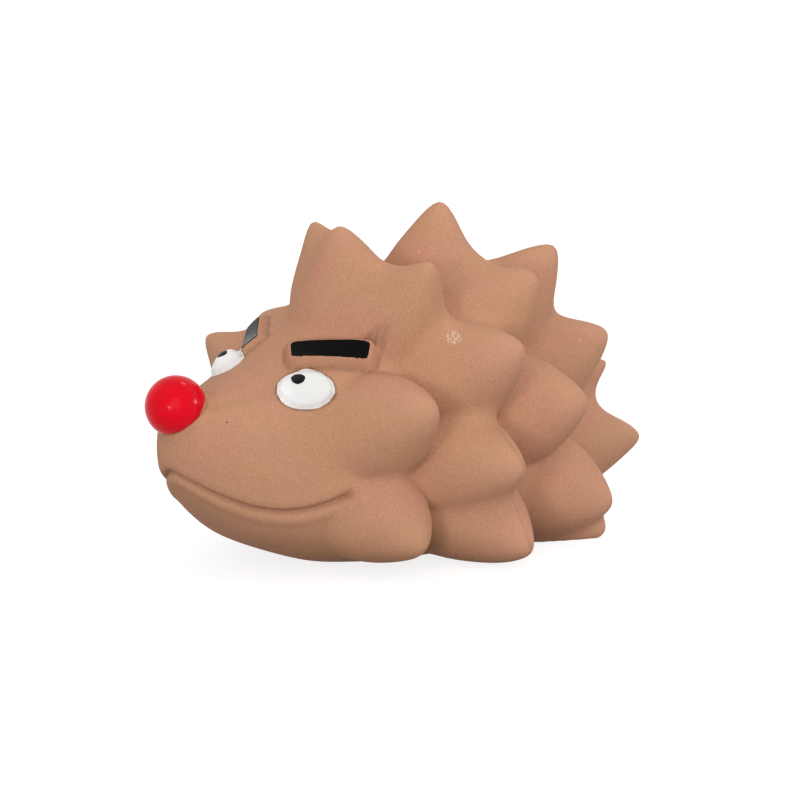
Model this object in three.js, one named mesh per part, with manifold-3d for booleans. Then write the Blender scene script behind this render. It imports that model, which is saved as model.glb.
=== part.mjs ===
// Latex hedgehog squeaky dog toy, built as the pieces that it is assembled from.
// Millimetres, +Z up, nose toward -X, the toy's own left side toward -Y, belly on Z = 0.
// The shell is one hollow moulding: an egg-shaped core lofted through stations, with a
// cone drawn out of it at each spine. Bosses for the brows and eyes, the nose ball and the
// mouth groove belong to that moulding, and the colours are thin skins of paint over it.
// A squeaker is buttoned into a hole in the belly and wadding fills the rest.
import * as THREE from 'three';
import { mergeVertices } from 'three/addons/utils/BufferGeometryUtils.js';
import Module from 'manifold-3d';

const wasm = await Module();
wasm.setup();

// Shell sizes
const BODY_LENGTH = 84.2;
const BODY_HALF_WIDTH = 22.3;
const BODY_HEIGHT = 46;
const LATEX_WALL = 2.2;
const SPINE_HEIGHT = 12;
const SPINE_SPREAD = 13.8;

// Face sizes
const NOSE_RADIUS = 4.7;
const EYE_RIM = 0.3;
const EYE_RISE = 0.8;
const BROW_RISE = 1.3;
const BOSS_ROOT_DEPTH = 1.4;
const MOUTH_GROOVE_RADIUS = 0.75;
const PAINT_THICKNESS = 0.3;
const PAINT_CLEARANCE = 0.3;

// Squeaker sizes
const SQUEAKER_FORWARD = 1;
const SQUEAKER_FLANGE_RADIUS = 8;
const SQUEAKER_FLANGE_THICKNESS = 1;
const SQUEAKER_NECK_RADIUS = 5.6;
const SQUEAKER_CUP_RADIUS = 7.2;
const SQUEAKER_CUP_DEPTH = 5.4;
const SQUEAKER_WALL = 1.1;
const SQUEAKER_RECESS = 0.4;
const AIR_HOLE_RADIUS = 1.6;
const CAP_THICKNESS = 1;
const CAP_HOLE_RADIUS = 0.9;
const CAP_HOLE_CIRCLE = 3.6;
const SEAT_THICKNESS = 1.6;
const SEAT_WINDOW_LENGTH = 6.4;
const SEAT_WINDOW_WIDTH = 3.8;
const REED_LENGTH = 7.6;
const REED_WIDTH = 3;
const REED_THICKNESS = 0.3;
const CLIP_LENGTH = 1.3;
const CLIP_THICKNESS = 0.7;
const CLIP_LEG_WIDTH = 0.9;
const LIP_PAD_RADIUS = 11;

// Fits
const CLEARANCE = 0.3;
const CUT_OVERRUN = 1;

// Counts
const SHELL_RINGS = 52;
const SHELL_COLUMNS = 62;
const SOFTENING_PASSES = 2;
const CAVITY_RINGS = 14;
const CAVITY_COLUMNS = 20;
const ROUND_SEGMENTS = 32;
const DISC_SEGMENTS = 12;
const GROOVE_STEPS = 44;
const CAP_HOLES = 5;
const BALL_SEGMENTS = 24;
const BALL_RINGS = 16;
const NOSE_ARC_STEPS = 9;
const PATCH_RINGS = 3;
const PATCH_COLUMNS = 24;
const GROOVE_SEGMENTS = 4;
const REED_TIP_SEGMENTS = 8;

// Stations of the core from nose to tail: place along the length, half width,
// top and bottom, as shares of the length, the half width and the height
const STATION_SHARES = [
  [0, 0, 0.51, 0.51],
  [0.015, 0.215, 0.64, 0.395],
  [0.07, 0.42, 0.698, 0.26],
  [0.15, 0.66, 0.75, 0.14],
  [0.245, 0.86, 0.82, 0.055],
  [0.35, 0.96, 0.92, 0.005],
  [0.47, 0.95, 0.985, -0.02],
  [0.615, 0.92, 1, -0.035],
  [0.755, 0.83, 0.935, -0.06],
  [0.875, 0.65, 0.785, -0.04],
  [0.95, 0.45, 0.61, 0.04],
  [0.99, 0.225, 0.455, 0.175],
  [1, 0, 0.315, 0.315],
];
// The nose end of the core lies this share of its length ahead of the spine crown
const NOSE_END_SHARE = 0.589;
// How far the shell's rings and columns crowd to the spines, and where rings lie widest
const CROWDING_SHARE = 0.35;
const RING_SPREAD_SHARE = 0.15;
// Softening of the creases in each pass, and where along the core it starts
const SOFTENING_SHARE = 0.5;
const SOFTENED_FROM_SHARE = 0.46;
// Height of the widest line in a section
const WIDEST_SHARE = 0.4;
// Power of the lower half's superellipse, which is squarer than the upper half
const LOWER_POWER = 2.5;

// Spines: place along the core, angle round it in degrees (0 left side, 90 top,
// 180 right side, 270 belly), height, spread, lean to the tail, lean round the body,
// flare of the foot as a power, and rounding of the tip. The cones on the flanks lean
// to the tail and are fuller, and those on the crown stand up from wider feet
const SPINE_SHARES = [
  [0.482, 96.1, 1.21, 0.74, 0, 0, 1.2, 0.16],
  [0.479, 84.1, 1.23, 0.92, 0, 0, 1.15, 0.18],
  [0.62, 88, 1.23, 0.96, -0.16, 0, 1.15, 0.16],
  [0.65, 107, 0.86, 0.96, 0, 0, 1.25, 0.16],
  [0.507, 60.8, 1.09, 0.7, 0.25, 0, 0.85, 0.2],
  [0.54, 123, 0.9, 1, 0, 0, 1.25, 0.16],
  [0.631, 59.4, 0.98, 0.78, 0.4, 0, 0.8, 0.22],
  [0.712, 83, 1.33, 0.88, 0.2, 0, 1, 0.18],
  [0.74, 102, 1.25, 0.9, 0, 0, 1.25, 0.16],
  [0.801, 71.5, 1.14, 0.8, 0.3, 0, 0.9, 0.2],
  [0.91, 98, 1.35, 0.6, 0, 0, 1.25, 0.16],
  [0.98, 318.4, 1.62, 0.85, 0, 0, 1, 0.16],
  [0.743, 345.1, 0.85, 0.82, 0.35, 0, 0.75, 0.22],
  [0.76, 194, 0.91, 1, 0, 0, 1.25, 0.16],
  [0.77, 323, 0.82, 0.98, 0.1, 0.24, 1.25, 0.16],
  [0.87, 227, 0.83, 1, 0, 0, 1.25, 0.16],
  [0.673, 21.3, 0.82, 0.8, 0.4, 0, 0.85, 0.24],
  [0.673, 158.7, 0.82, 0.8, 0.4, -0, 0.85, 0.24],
  [0.8, 119, 0.98, 1, 0, 0, 1.25, 0.16],
  [0.55, 0.6, 0.94, 0.8, 0.35, 0, 0.85, 0.24],
  [0.55, 179.4, 0.94, 0.8, 0.35, -0, 0.85, 0.24],
  [0.559, 32.8, 1.04, 0.82, 0.4, 0, 0.85, 0.28],
  [0.559, 147.2, 1.04, 0.82, 0.4, -0, 0.85, 0.28],
  [0.427, 21.1, 0.9, 0.76, 0.3, 0, 0.9, 0.36],
  [0.45, 146, 1, 0.78, -0.22, 0.05, 1.25, 0.16],
  [0.57, 335.2, 1.02, 0.78, 0.35, 0, 0.8, 0.22],
  [0.57, 204.8, 1.02, 0.78, 0.35, -0, 0.8, 0.22],
  [0.422, 337.2, 0.65, 0.74, 0.45, 0, 0.8, 0.26],
  [0.422, 202.8, 0.65, 0.74, 0.45, -0, 0.8, 0.26],
  [0.47, 137, 0.5, 0.84, 0, 0, 1.25, 0.16],
  [0.69, 132, 0.8, 0.9, 0, 0, 1.25, 0.16],
];
// How softly a cone runs out into the core
const RUN_OUT_SHARE = 0.2;
// Higher powers give sharper creases between neighbouring cones
const CREASE_POWER = 6;

// Patches of the face: centre, then the reach to the rear end and to the upper edge, each as
// a share along the core and an angle round it in degrees. The right side is given as its
// mirror image: its eye and brow sit a little further forward and nearer to the middle
const LEFT_EYE_SHARES = { centre: [0.329, 49.6], rear: [0.041, -6.3], upper: [0.016, 9.6] };
const RIGHT_EYE_SHARES = { centre: [0.314, 55.5], rear: [0.041, -6.3], upper: [0.016, 9.6] };
const LEFT_BROW_SHARES = { centre: [0.392, 61.5], rear: [0.045, -11.6], upper: [0.011, 3.6] };
const RIGHT_BROW_SHARES = { centre: [0.37, 67], rear: [0.045, -11.6], upper: [0.011, 3.6] };
// Pupil inside the eye: centre and reach, as shares of the eye's own reach
const PUPIL_SHARES = { centre: [-0.27, 0.33], reach: [0.255, 0.33] };
// The sides of a brow slope out to a foot under the skin that is longer and wider by these
const BROW_FOOT_SHARES = [1.08, 1.5];
// Power of the outline: 2 is an ellipse, higher is a bar with rounded corners
const EYE_OUTLINE_POWER = 2.1;
const BROW_OUTLINE_POWER = 9;
// Mouth line from the middle of the lip to the left corner: share along, angle round
const MOUTH_SHARES = [
  [0.074, -90],
  [0.1035, -54.9],
  [0.1426, -38.7],
  [0.1817, -30.8],
  [0.218, -25.5],
  [0.2553, -19.3],
  [0.2848, -14.3],
  [0.3106, -9.5],
  [0.3364, -5.4],
  [0.3536, -2.8],
  [0.3612, -1.6],
];
// The nose ball is centred on the muzzle's surface: share along, angle round
const NOSE_SHARES = [0.1, 90];
// Painted part of the nose ball, from its pole to the rim, in degrees, and the pole's lift
const NOSE_PAINT_SWEEP = 106;
const NOSE_PAINT_TILT = 47;

// Half a turn in degrees
const HALF_TURN = 180;

// Small helpers
const radians = (degrees) => (degrees * Math.PI) / HALF_TURN;
const column = (table, index) => table.map((row) => row[index]);

// Closed uniform Catmull-Rom spline through a ring of values
function closedSpline(values, place) {
  const first = Math.floor(place);
  const part = place - first;
  const pick = (offset) => values[(first + offset + values.length) % values.length];
  const [before, start, end, after] = [pick(-1), pick(0), pick(1), pick(2)];
  const slope = (end - before) * part;
  const bend = (2 * before - 5 * start + 4 * end - after) * part ** 2;
  const twist = (3 * start - before - 3 * end + after) * part ** 3;
  return (2 * start + slope + bend + twist) / 2;
}

// The stations' columns closed into rings: out along one side and back along the other
const lastStation = STATION_SHARES.length - 1;
const backward = (values) => values.slice(1, -1).reverse();
const alongRing = [...column(STATION_SHARES, 0), ...backward(column(STATION_SHARES, 0))];
const widthRing = [
  ...column(STATION_SHARES, 1),
  ...backward(column(STATION_SHARES, 1)).map((share) => -share),
];
const heightRing = [...column(STATION_SHARES, 2), ...backward(column(STATION_SHARES, 3))];

// A point of the smooth core
function corePoint(share, angle) {
  const out = share * lastStation;
  const back = (2 * lastStation - out) % (2 * lastStation);
  const x = (closedSpline(alongRing, out) - NOSE_END_SHARE) * BODY_LENGTH;
  const half = Math.max(closedSpline(widthRing, out), 0) * BODY_HALF_WIDTH;
  const top = closedSpline(heightRing, out) * BODY_HEIGHT;
  const bottom = closedSpline(heightRing, back) * BODY_HEIGHT;
  const middle = bottom + (top - bottom) * WIDEST_SHARE;
  const [side, lift] = [Math.cos(angle), Math.sin(angle)];
  const square = (value) => Math.sign(value) * Math.abs(value) ** (2 / LOWER_POWER);
  if (lift > 0) return new THREE.Vector3(x, -half * side, middle + (top - middle) * lift);
  return new THREE.Vector3(x, -half * square(side), middle + (middle - bottom) * square(lift));
}

// Outward normal and tangents of a surface given as a function of share and angle
const PROBE_SHARE = 0.002;
function surfaceFrame(surface, share, angle) {
  const ahead = Math.min(share + PROBE_SHARE, 1);
  const behind = Math.max(share - PROBE_SHARE, 0);
  const along = surface(ahead, angle).sub(surface(behind, angle)).normalize();
  const round = surface(share, angle + PROBE_SHARE).sub(surface(share, angle - PROBE_SHARE));
  const normal = along.clone().cross(round.normalize()).normalize();
  return { along, round, normal };
}

// The spines, each with its root on the core, the vector to its tip and its spread
const spines = SPINE_SHARES.map((row) => {
  const [share, degrees, height, spread, leanAlong, leanRound, flare, rounding] = row;
  const angle = radians(degrees);
  const { along, round, normal } = surfaceFrame(corePoint, share, angle);
  const vector = normal.addScaledVector(along, leanAlong).addScaledVector(round, leanRound);
  return {
    share,
    angle,
    root: corePoint(share, angle),
    vector: vector.multiplyScalar(height * SPINE_HEIGHT),
    spread: spread * SPINE_SPREAD,
    flare,
    rounding,
  };
});

// Height of a cone at a share of its spread from the root: the rounding blunts its tip, and
// a flare over 1 hollows its foot, where one under 1 keeps it full
function coneShare(distance, flare, rounding) {
  const reach = Math.min(distance, 1);
  const rise = (value) => Math.hypot(value, rounding) - rounding;
  return (1 - rise(reach) / rise(1)) ** flare;
}

// A point of the outer surface: the core drawn out by the cones, whose creases stay sharp
// because the highest cone takes over, and cut flat where the toy stands
function bodyPoint(share, angle) {
  const point = corePoint(share, angle);
  const pull = new THREE.Vector3();
  let weights = RUN_OUT_SHARE ** (CREASE_POWER - 1);
  for (const { root, vector, spread, flare, rounding } of spines) {
    const height = coneShare(point.distanceTo(root) / spread, flare, rounding);
    const weight = height ** (CREASE_POWER - 1);
    pull.addScaledVector(vector, weight * height);
    weights += weight;
  }
  point.addScaledVector(pull, 1 / weights);
  point.z = Math.max(point.z, 0);
  return point;
}

// Solids and geometries
function geometryFrom(positions, triangles) {
  const geometry = new THREE.BufferGeometry();
  geometry.setAttribute('position', new THREE.Float32BufferAttribute(positions, 3));
  geometry.setIndex(triangles);
  return geometry;
}
function solidFrom(geometry) {
  const bare = geometry.clone();
  bare.deleteAttribute('normal');
  bare.deleteAttribute('uv');
  const merged = mergeVertices(bare);
  return new wasm.Manifold(
    new wasm.Mesh({
      numProp: 3,
      vertProperties: new Float32Array(merged.attributes.position.array),
      triVerts: new Uint32Array(merged.index.array),
    }),
  );
}
function geometryOf(solid) {
  const mesh = solid.getMesh();
  return geometryFrom(Array.from(mesh.vertProperties), Array.from(mesh.triVerts));
}
function disc(radius, bottom, top, x) {
  const profile = [
    new THREE.Vector2(0, bottom),
    new THREE.Vector2(radius, bottom),
    new THREE.Vector2(radius, top),
    new THREE.Vector2(0, top),
  ];
  return new THREE.LatheGeometry(profile, ROUND_SEGMENTS).rotateX(Math.PI / 2).translate(x, 0, 0);
}

// Rings and columns of the outer surface as shares and angles. They crowd together by the
// crowding share where the spines are: the rings toward the tail and the columns on top
const ringShares = Array.from({ length: SHELL_RINGS + 1 }, (_, ring) => {
  const even = ring / SHELL_RINGS;
  const wave = (place) => Math.sin(2 * Math.PI * (place - RING_SPREAD_SHARE)) / Math.PI / 2;
  return even + CROWDING_SHARE * (wave(even) - wave(0));
});
const columnAngles = Array.from({ length: SHELL_COLUMNS }, (_, step) => {
  const even = (2 * Math.PI * step) / SHELL_COLUMNS;
  return even + CROWDING_SHARE * Math.cos(even);
});
const nearest = (values, gap) =>
  values.reduce((best, value, index) => (gap(value) < gap(values[best]) ? index : best), 0);

// Pass after pass, each corner that lies in a hollow behind the face moves by the softening
// share to the middle of its four neighbours, which rounds the creases between the cones
function softened(points, at) {
  let soft = points;
  for (let pass = 0; pass < SOFTENING_PASSES; pass += 1) {
    const last = soft;
    soft = last.map((point) => point.clone());
    for (let ring = 1; ring < SHELL_RINGS; ring += 1) {
      if (ringShares[ring] < SOFTENED_FROM_SHARE) continue;
      for (let step = 0; step < SHELL_COLUMNS; step += 1) {
        const [ahead, behind] = [last[at(ring + 1, step)], last[at(ring - 1, step)]];
        const [up, down] = [last[at(ring, step + 1)], last[at(ring, step + SHELL_COLUMNS - 1)]];
        const outward = ahead.clone().sub(behind).cross(up.clone().sub(down));
        const middle = ahead.clone().add(behind).add(up).add(down).divideScalar(4);
        const here = at(ring, step);
        if (middle.clone().sub(last[here]).dot(outward) > 0) {
          soft[here].lerp(middle, SOFTENING_SHARE);
        }
      }
    }
  }
  return soft;
}

// Outer surface of the shell: rings of corners from the nose end to the tail end. The
// corner nearest each root moves onto it, so that the tips are whole, and each four
// corners are joined across the shorter way, which keeps the creases clean
function outerSurface() {
  const places = [];
  for (const share of ringShares.slice(1, -1)) {
    for (const angle of columnAngles) places.push([share, angle]);
  }
  const at = (ring, step) => {
    if (ring === 0) return places.length;
    if (ring === SHELL_RINGS) return places.length + 1;
    return (ring - 1) * SHELL_COLUMNS + (step % SHELL_COLUMNS);
  };
  for (const { share, angle } of spines) {
    const ring = nearest(ringShares, (value) => Math.abs(value - share));
    const step = nearest(columnAngles, (value) => 1 - Math.cos(value - angle));
    places[at(Math.min(ring, SHELL_RINGS - 1), step)] = [share, angle];
  }
  const sharp = [...places, [0, 0], [1, 0]].map(([share, angle]) => bodyPoint(share, angle));
  const points = softened(sharp, at);
  const triangles = [];
  for (let ring = 0; ring < SHELL_RINGS; ring += 1) {
    for (let step = 0; step < SHELL_COLUMNS; step += 1) {
      const [a, b] = [at(ring, step), at(ring + 1, step)];
      const [c, d] = [at(ring + 1, step + 1), at(ring, step + 1)];
      const acrossFirst = points[a].distanceTo(points[c]) <= points[b].distanceTo(points[d]);
      const pair = acrossFirst ? [a, b, c, a, c, d] : [a, b, d, b, c, d];
      if (ring === 0) triangles.push(a, b, c);
      else if (ring === SHELL_RINGS - 1) triangles.push(a, b, d);
      else triangles.push(...pair);
    }
  }
  return geometryFrom(points.flatMap((point) => point.toArray()), triangles);
}

// A smooth inner surface that follows the core at a depth under it
function innerSurface(depth) {
  const positions = [];
  const triangles = [];
  const ringShare = (ring) =>
    ((1 - Math.cos((Math.PI * ring) / CAVITY_RINGS)) / 2 + ring / CAVITY_RINGS) / 2;
  positions.push(...corePoint(0, 0).add(new THREE.Vector3(depth, 0, 0)).toArray());
  for (let ring = 1; ring < CAVITY_RINGS; ring += 1) {
    for (let step = 0; step < CAVITY_COLUMNS; step += 1) {
      const angle = (2 * Math.PI * step) / CAVITY_COLUMNS;
      const { normal } = surfaceFrame(corePoint, ringShare(ring), angle);
      const point = corePoint(ringShare(ring), angle).addScaledVector(normal, -depth);
      point.z = Math.max(point.z, depth);
      positions.push(...point.toArray());
    }
  }
  positions.push(...corePoint(1, 0).add(new THREE.Vector3(-depth, 0, 0)).toArray());
  const corner = (ring, step) => 1 + (ring - 1) * CAVITY_COLUMNS + (step % CAVITY_COLUMNS);
  const tail = 1 + (CAVITY_RINGS - 1) * CAVITY_COLUMNS;
  for (let step = 0; step < CAVITY_COLUMNS; step += 1) {
    triangles.push(0, corner(1, step), corner(1, step + 1));
    triangles.push(tail, corner(CAVITY_RINGS - 1, step + 1), corner(CAVITY_RINGS - 1, step));
    for (let ring = 1; ring < CAVITY_RINGS - 1; ring += 1) {
      triangles.push(corner(ring, step), corner(ring + 1, step), corner(ring + 1, step + 1));
      triangles.push(corner(ring, step), corner(ring + 1, step + 1), corner(ring, step + 1));
    }
  }
  return geometryFrom(positions, triangles);
}

// Face patches: a disc or a bar laid on the outer surface, from one height to another along
// the normal at its centre.
// side is 1 on the toy's left and -1 on its right. The foot is how much longer and wider the
// lower face is than the upper one
const cornerShare = (value, power) => Math.sign(value) * Math.abs(value) ** (2 / power);
const reachOf = ([rear, upper], power) =>
  (Math.abs(rear) ** power + Math.abs(upper) ** power) ** (1 / power);
function patchGeometry(patch, side, power, spot, lower, upper, foot = [1, 1]) {
  const [share, degrees] = patch.centre;
  const centreAngle = side > 0 ? radians(degrees) : Math.PI - radians(degrees);
  const { normal } = surfaceFrame(bodyPoint, share, centreAngle);
  const lift = (rear, up, height) => {
    const across = spot.centre[0] + spot.reach[0] * rear;
    const high = spot.centre[1] + spot.reach[1] * up;
    const place = share + patch.rear[0] * across + patch.upper[0] * high;
    const angle = centreAngle + side * radians(patch.rear[1] * across + patch.upper[1] * high);
    return bodyPoint(place, angle).addScaledVector(normal, height([across, high]));
  };
  const positions = [];
  const triangles = [];
  const add = (first, second, third) =>
    triangles.push(first, ...(side > 0 ? [second, third] : [third, second]));
  const layer = (height, [longer, wider]) => {
    positions.push(...lift(0, 0, height).toArray());
    for (let ring = 1; ring <= PATCH_RINGS; ring += 1) {
      for (let step = 0; step < PATCH_COLUMNS; step += 1) {
        const turn = (2 * Math.PI * step) / PATCH_COLUMNS;
        const out = ring / PATCH_RINGS;
        const rear = out * longer * cornerShare(Math.cos(turn), power);
        const up = out * wider * cornerShare(Math.sin(turn), power);
        positions.push(...lift(rear, up, height).toArray());
      }
    }
  };
  layer(lower, foot);
  layer(upper, [1, 1]);
  const count = 1 + PATCH_RINGS * PATCH_COLUMNS;
  const at = (ring, step) =>
    ring === 0 ? 0 : 1 + (ring - 1) * PATCH_COLUMNS + (step % PATCH_COLUMNS);
  for (let step = 0; step < PATCH_COLUMNS; step += 1) {
    for (let ring = 0; ring < PATCH_RINGS; ring += 1) {
      const [a, b] = [at(ring, step), at(ring + 1, step)];
      const [c, d] = [at(ring + 1, step + 1), at(ring, step + 1)];
      add(c, b, a);
      add(count + a, count + b, count + c);
      if (ring > 0) add(d, c, a);
      if (ring > 0) add(count + a, count + c, count + d);
    }
    const [near, next] = [at(PATCH_RINGS, step), at(PATCH_RINGS, step + 1)];
    add(near, next, count + next);
    add(near, count + next, count + near);
  }
  return geometryFrom(positions, triangles);
}
const WHOLE = { centre: [0, 0], reach: [1, 1] };
const sunk = () => -BOSS_ROOT_DEPTH;
const domeHeight = (place) => EYE_RIM + EYE_RISE * (1 - reachOf(place, EYE_OUTLINE_POWER) ** 2);
const raised = (height, extra) => (place) => height(place) + extra;
const browHeight = () => BROW_RISE;
const paintBottom = (height) => raised(height, PAINT_CLEARANCE);
const paintTop = (height) => raised(height, PAINT_CLEARANCE + PAINT_THICKNESS);
const eyeShares = (side) => (side > 0 ? LEFT_EYE_SHARES : RIGHT_EYE_SHARES);
const browShares = (side) => (side > 0 ? LEFT_BROW_SHARES : RIGHT_BROW_SHARES);
const eyePatch = (side, ...rest) =>
  patchGeometry(eyeShares(side), side, EYE_OUTLINE_POWER, WHOLE, ...rest);
const browPatch = (side, spot, ...rest) =>
  patchGeometry(browShares(side), side, BROW_OUTLINE_POWER, spot, ...rest);
const eyeBoss = (side) => eyePatch(side, sunk, domeHeight);
const eyePaint = (side) => eyePatch(side, paintBottom(domeHeight), paintTop(domeHeight));
const browBoss = (side) => browPatch(side, WHOLE, sunk, browHeight, BROW_FOOT_SHARES);
const browPaint = (side) =>
  browPatch(side, WHOLE, paintBottom(browHeight), paintTop(browHeight));
const pupilPaint = (side) =>
  patchGeometry(
    eyeShares(side),
    side,
    2,
    PUPIL_SHARES,
    paintBottom(paintTop(domeHeight)),
    paintTop(paintTop(domeHeight)),
  );

// Nose ball on the muzzle and the paint cap over it, whose pole points forward and up.
// The muzzle gives way round the cap where they would meet
const noseCentre = corePoint(NOSE_SHARES[0], radians(NOSE_SHARES[1]));
const paintFloor = NOSE_RADIUS + PAINT_CLEARANCE;
const paintFace = paintFloor + PAINT_THICKNESS;
function noseBall() {
  return new THREE.SphereGeometry(NOSE_RADIUS, BALL_SEGMENTS, BALL_RINGS).translate(...noseCentre);
}
function noseCap(inner, outer, sweep) {
  const arc = (radius, step) => {
    const turn = (sweep * step) / NOSE_ARC_STEPS;
    return new THREE.Vector2(radius * Math.sin(turn), radius * Math.cos(turn));
  };
  const steps = Array.from({ length: NOSE_ARC_STEPS + 1 }, (_, step) => step);
  const profile = [
    ...steps.map((step) => arc(inner, step)),
    ...steps.map((step) => arc(outer, NOSE_ARC_STEPS - step)),
  ];
  return new THREE.LatheGeometry(profile, BALL_SEGMENTS)
    .rotateZ(Math.PI / 2)
    .rotateY(radians(NOSE_PAINT_TILT));
}
const paintSweep = radians(NOSE_PAINT_SWEEP);
const nosePaint = () => noseCap(paintFloor, paintFace, paintSweep);
const noseRoom = () =>
  noseCap(NOSE_RADIUS / 2, paintFace + PAINT_CLEARANCE, paintSweep + PAINT_CLEARANCE / NOSE_RADIUS)
    .translate(...noseCentre);

// Mouth groove: a round section swept along the lips, from one corner to the other
function mouthGroove() {
  const left = MOUTH_SHARES.map(([share, degrees]) => bodyPoint(share, radians(degrees)));
  const right = MOUTH_SHARES.slice(1).map(([share, degrees]) =>
    bodyPoint(share, -Math.PI - radians(degrees)),
  );
  const path = new THREE.CatmullRomCurve3([...left.reverse(), ...right]);
  const section = new THREE.Shape().absarc(0, 0, MOUTH_GROOVE_RADIUS, 0, Math.PI * 2);
  return new THREE.ExtrudeGeometry(section, {
    extrudePath: path,
    steps: GROOVE_STEPS,
    curveSegments: GROOVE_SEGMENTS,
    bevelEnabled: false,
  });
}

// Levels of the squeaker in the belly, from the ground up
const squeakerX = -SQUEAKER_FORWARD;
const lipBottom = SQUEAKER_RECESS + SQUEAKER_FLANGE_THICKNESS + CLEARANCE;
const lipTop = lipBottom + LATEX_WALL;
const cupFloor = lipTop + CLEARANCE + SQUEAKER_FLANGE_THICKNESS;
const cupRim = cupFloor + SQUEAKER_CUP_DEPTH;
const capBottom = cupRim + CLEARANCE;
const capTop = capBottom + CAP_THICKNESS;
const seatBottom = cupFloor + CLEARANCE;
const seatTop = seatBottom + SEAT_THICKNESS;
const reedBottom = seatTop + CLEARANCE;
const reedTop = reedBottom + REED_THICKNESS;
const cupBore = SQUEAKER_CUP_RADIUS - SQUEAKER_WALL;

// Shell: outer moulding with its bosses, nose and mouth, hollowed, with the squeaker's lip
function latexBody() {
  const bosses = [1, -1].flatMap((side) => [eyeBoss(side), browBoss(side)]);
  let shell = solidFrom(outerSurface()).subtract(solidFrom(noseRoom()));
  shell = shell.add(solidFrom(noseBall()));
  for (const boss of bosses) shell = shell.add(solidFrom(boss));
  const pad = solidFrom(disc(LIP_PAD_RADIUS, -CUT_OVERRUN, lipTop, squeakerX));
  const recess = disc(SQUEAKER_FLANGE_RADIUS + CLEARANCE, -CUT_OVERRUN, lipBottom, squeakerX);
  const hole = disc(SQUEAKER_NECK_RADIUS + CLEARANCE, -CUT_OVERRUN, lipTop + CUT_OVERRUN, squeakerX);
  return geometryOf(
    shell
      .subtract(solidFrom(mouthGroove()))
      .subtract(solidFrom(innerSurface(LATEX_WALL)).subtract(pad))
      .subtract(solidFrom(recess))
      .subtract(solidFrom(hole)),
  );
}

// Wadding: fills the shell round the squeaker
function fibreFill() {
  const pad = disc(LIP_PAD_RADIUS + CLEARANCE, -CUT_OVERRUN, lipTop + CLEARANCE, squeakerX);
  const room = disc(SQUEAKER_FLANGE_RADIUS + CLEARANCE, -CUT_OVERRUN, capTop + CLEARANCE, squeakerX);
  return geometryOf(
    solidFrom(innerSurface(LATEX_WALL + CLEARANCE)).subtract(solidFrom(pad)).subtract(solidFrom(room)),
  );
}

// Squeaker body: a cup with two flanges that grip the lip, turned as one profile
function squeakerBody() {
  const profile = [
    [AIR_HOLE_RADIUS, SQUEAKER_RECESS],
    [SQUEAKER_FLANGE_RADIUS, SQUEAKER_RECESS],
    [SQUEAKER_FLANGE_RADIUS, lipBottom - CLEARANCE],
    [SQUEAKER_NECK_RADIUS, lipBottom - CLEARANCE],
    [SQUEAKER_NECK_RADIUS, lipTop + CLEARANCE],
    [SQUEAKER_FLANGE_RADIUS, lipTop + CLEARANCE],
    [SQUEAKER_FLANGE_RADIUS, cupFloor],
    [SQUEAKER_CUP_RADIUS, cupFloor],
    [SQUEAKER_CUP_RADIUS, cupRim],
    [cupBore, cupRim],
    [cupBore, cupFloor],
    [AIR_HOLE_RADIUS, cupFloor],
    [AIR_HOLE_RADIUS, SQUEAKER_RECESS],
  ].map(([radius, level]) => new THREE.Vector2(radius, level));
  return new THREE.LatheGeometry(profile, ROUND_SEGMENTS).rotateX(Math.PI / 2);
}
function round(radius) {
  return new THREE.Shape().absarc(0, 0, radius, 0, Math.PI * 2);
}
function extruded(shape, depth) {
  return new THREE.ExtrudeGeometry(shape, {
    depth,
    curveSegments: DISC_SEGMENTS,
    bevelEnabled: false,
  });
}

// Cap: a disc with a ring of air holes
function squeakerCap() {
  const shape = round(SQUEAKER_CUP_RADIUS);
  for (let hole = 0; hole < CAP_HOLES; hole += 1) {
    const turn = (2 * Math.PI * hole) / CAP_HOLES;
    const [x, y] = [CAP_HOLE_CIRCLE * Math.cos(turn), CAP_HOLE_CIRCLE * Math.sin(turn)];
    shape.holes.push(new THREE.Path().absarc(x, y, CAP_HOLE_RADIUS, 0, Math.PI * 2));
  }
  return extruded(shape, CAP_THICKNESS).translate(0, 0, capBottom);
}

// Reed seat: a disc with the window that the reed's free end flutters in
function reedSeat() {
  const shape = round(cupBore - CLEARANCE);
  const [halfLength, halfWidth] = [SEAT_WINDOW_LENGTH / 2, SEAT_WINDOW_WIDTH / 2];
  const window = new THREE.Path([
    new THREE.Vector2(-halfLength, -halfWidth),
    new THREE.Vector2(halfLength, -halfWidth),
    new THREE.Vector2(halfLength, halfWidth),
    new THREE.Vector2(-halfLength, halfWidth),
  ]);
  shape.holes.push(window);
  return extruded(shape, SEAT_THICKNESS).translate(0, 0, seatBottom);
}

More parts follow.
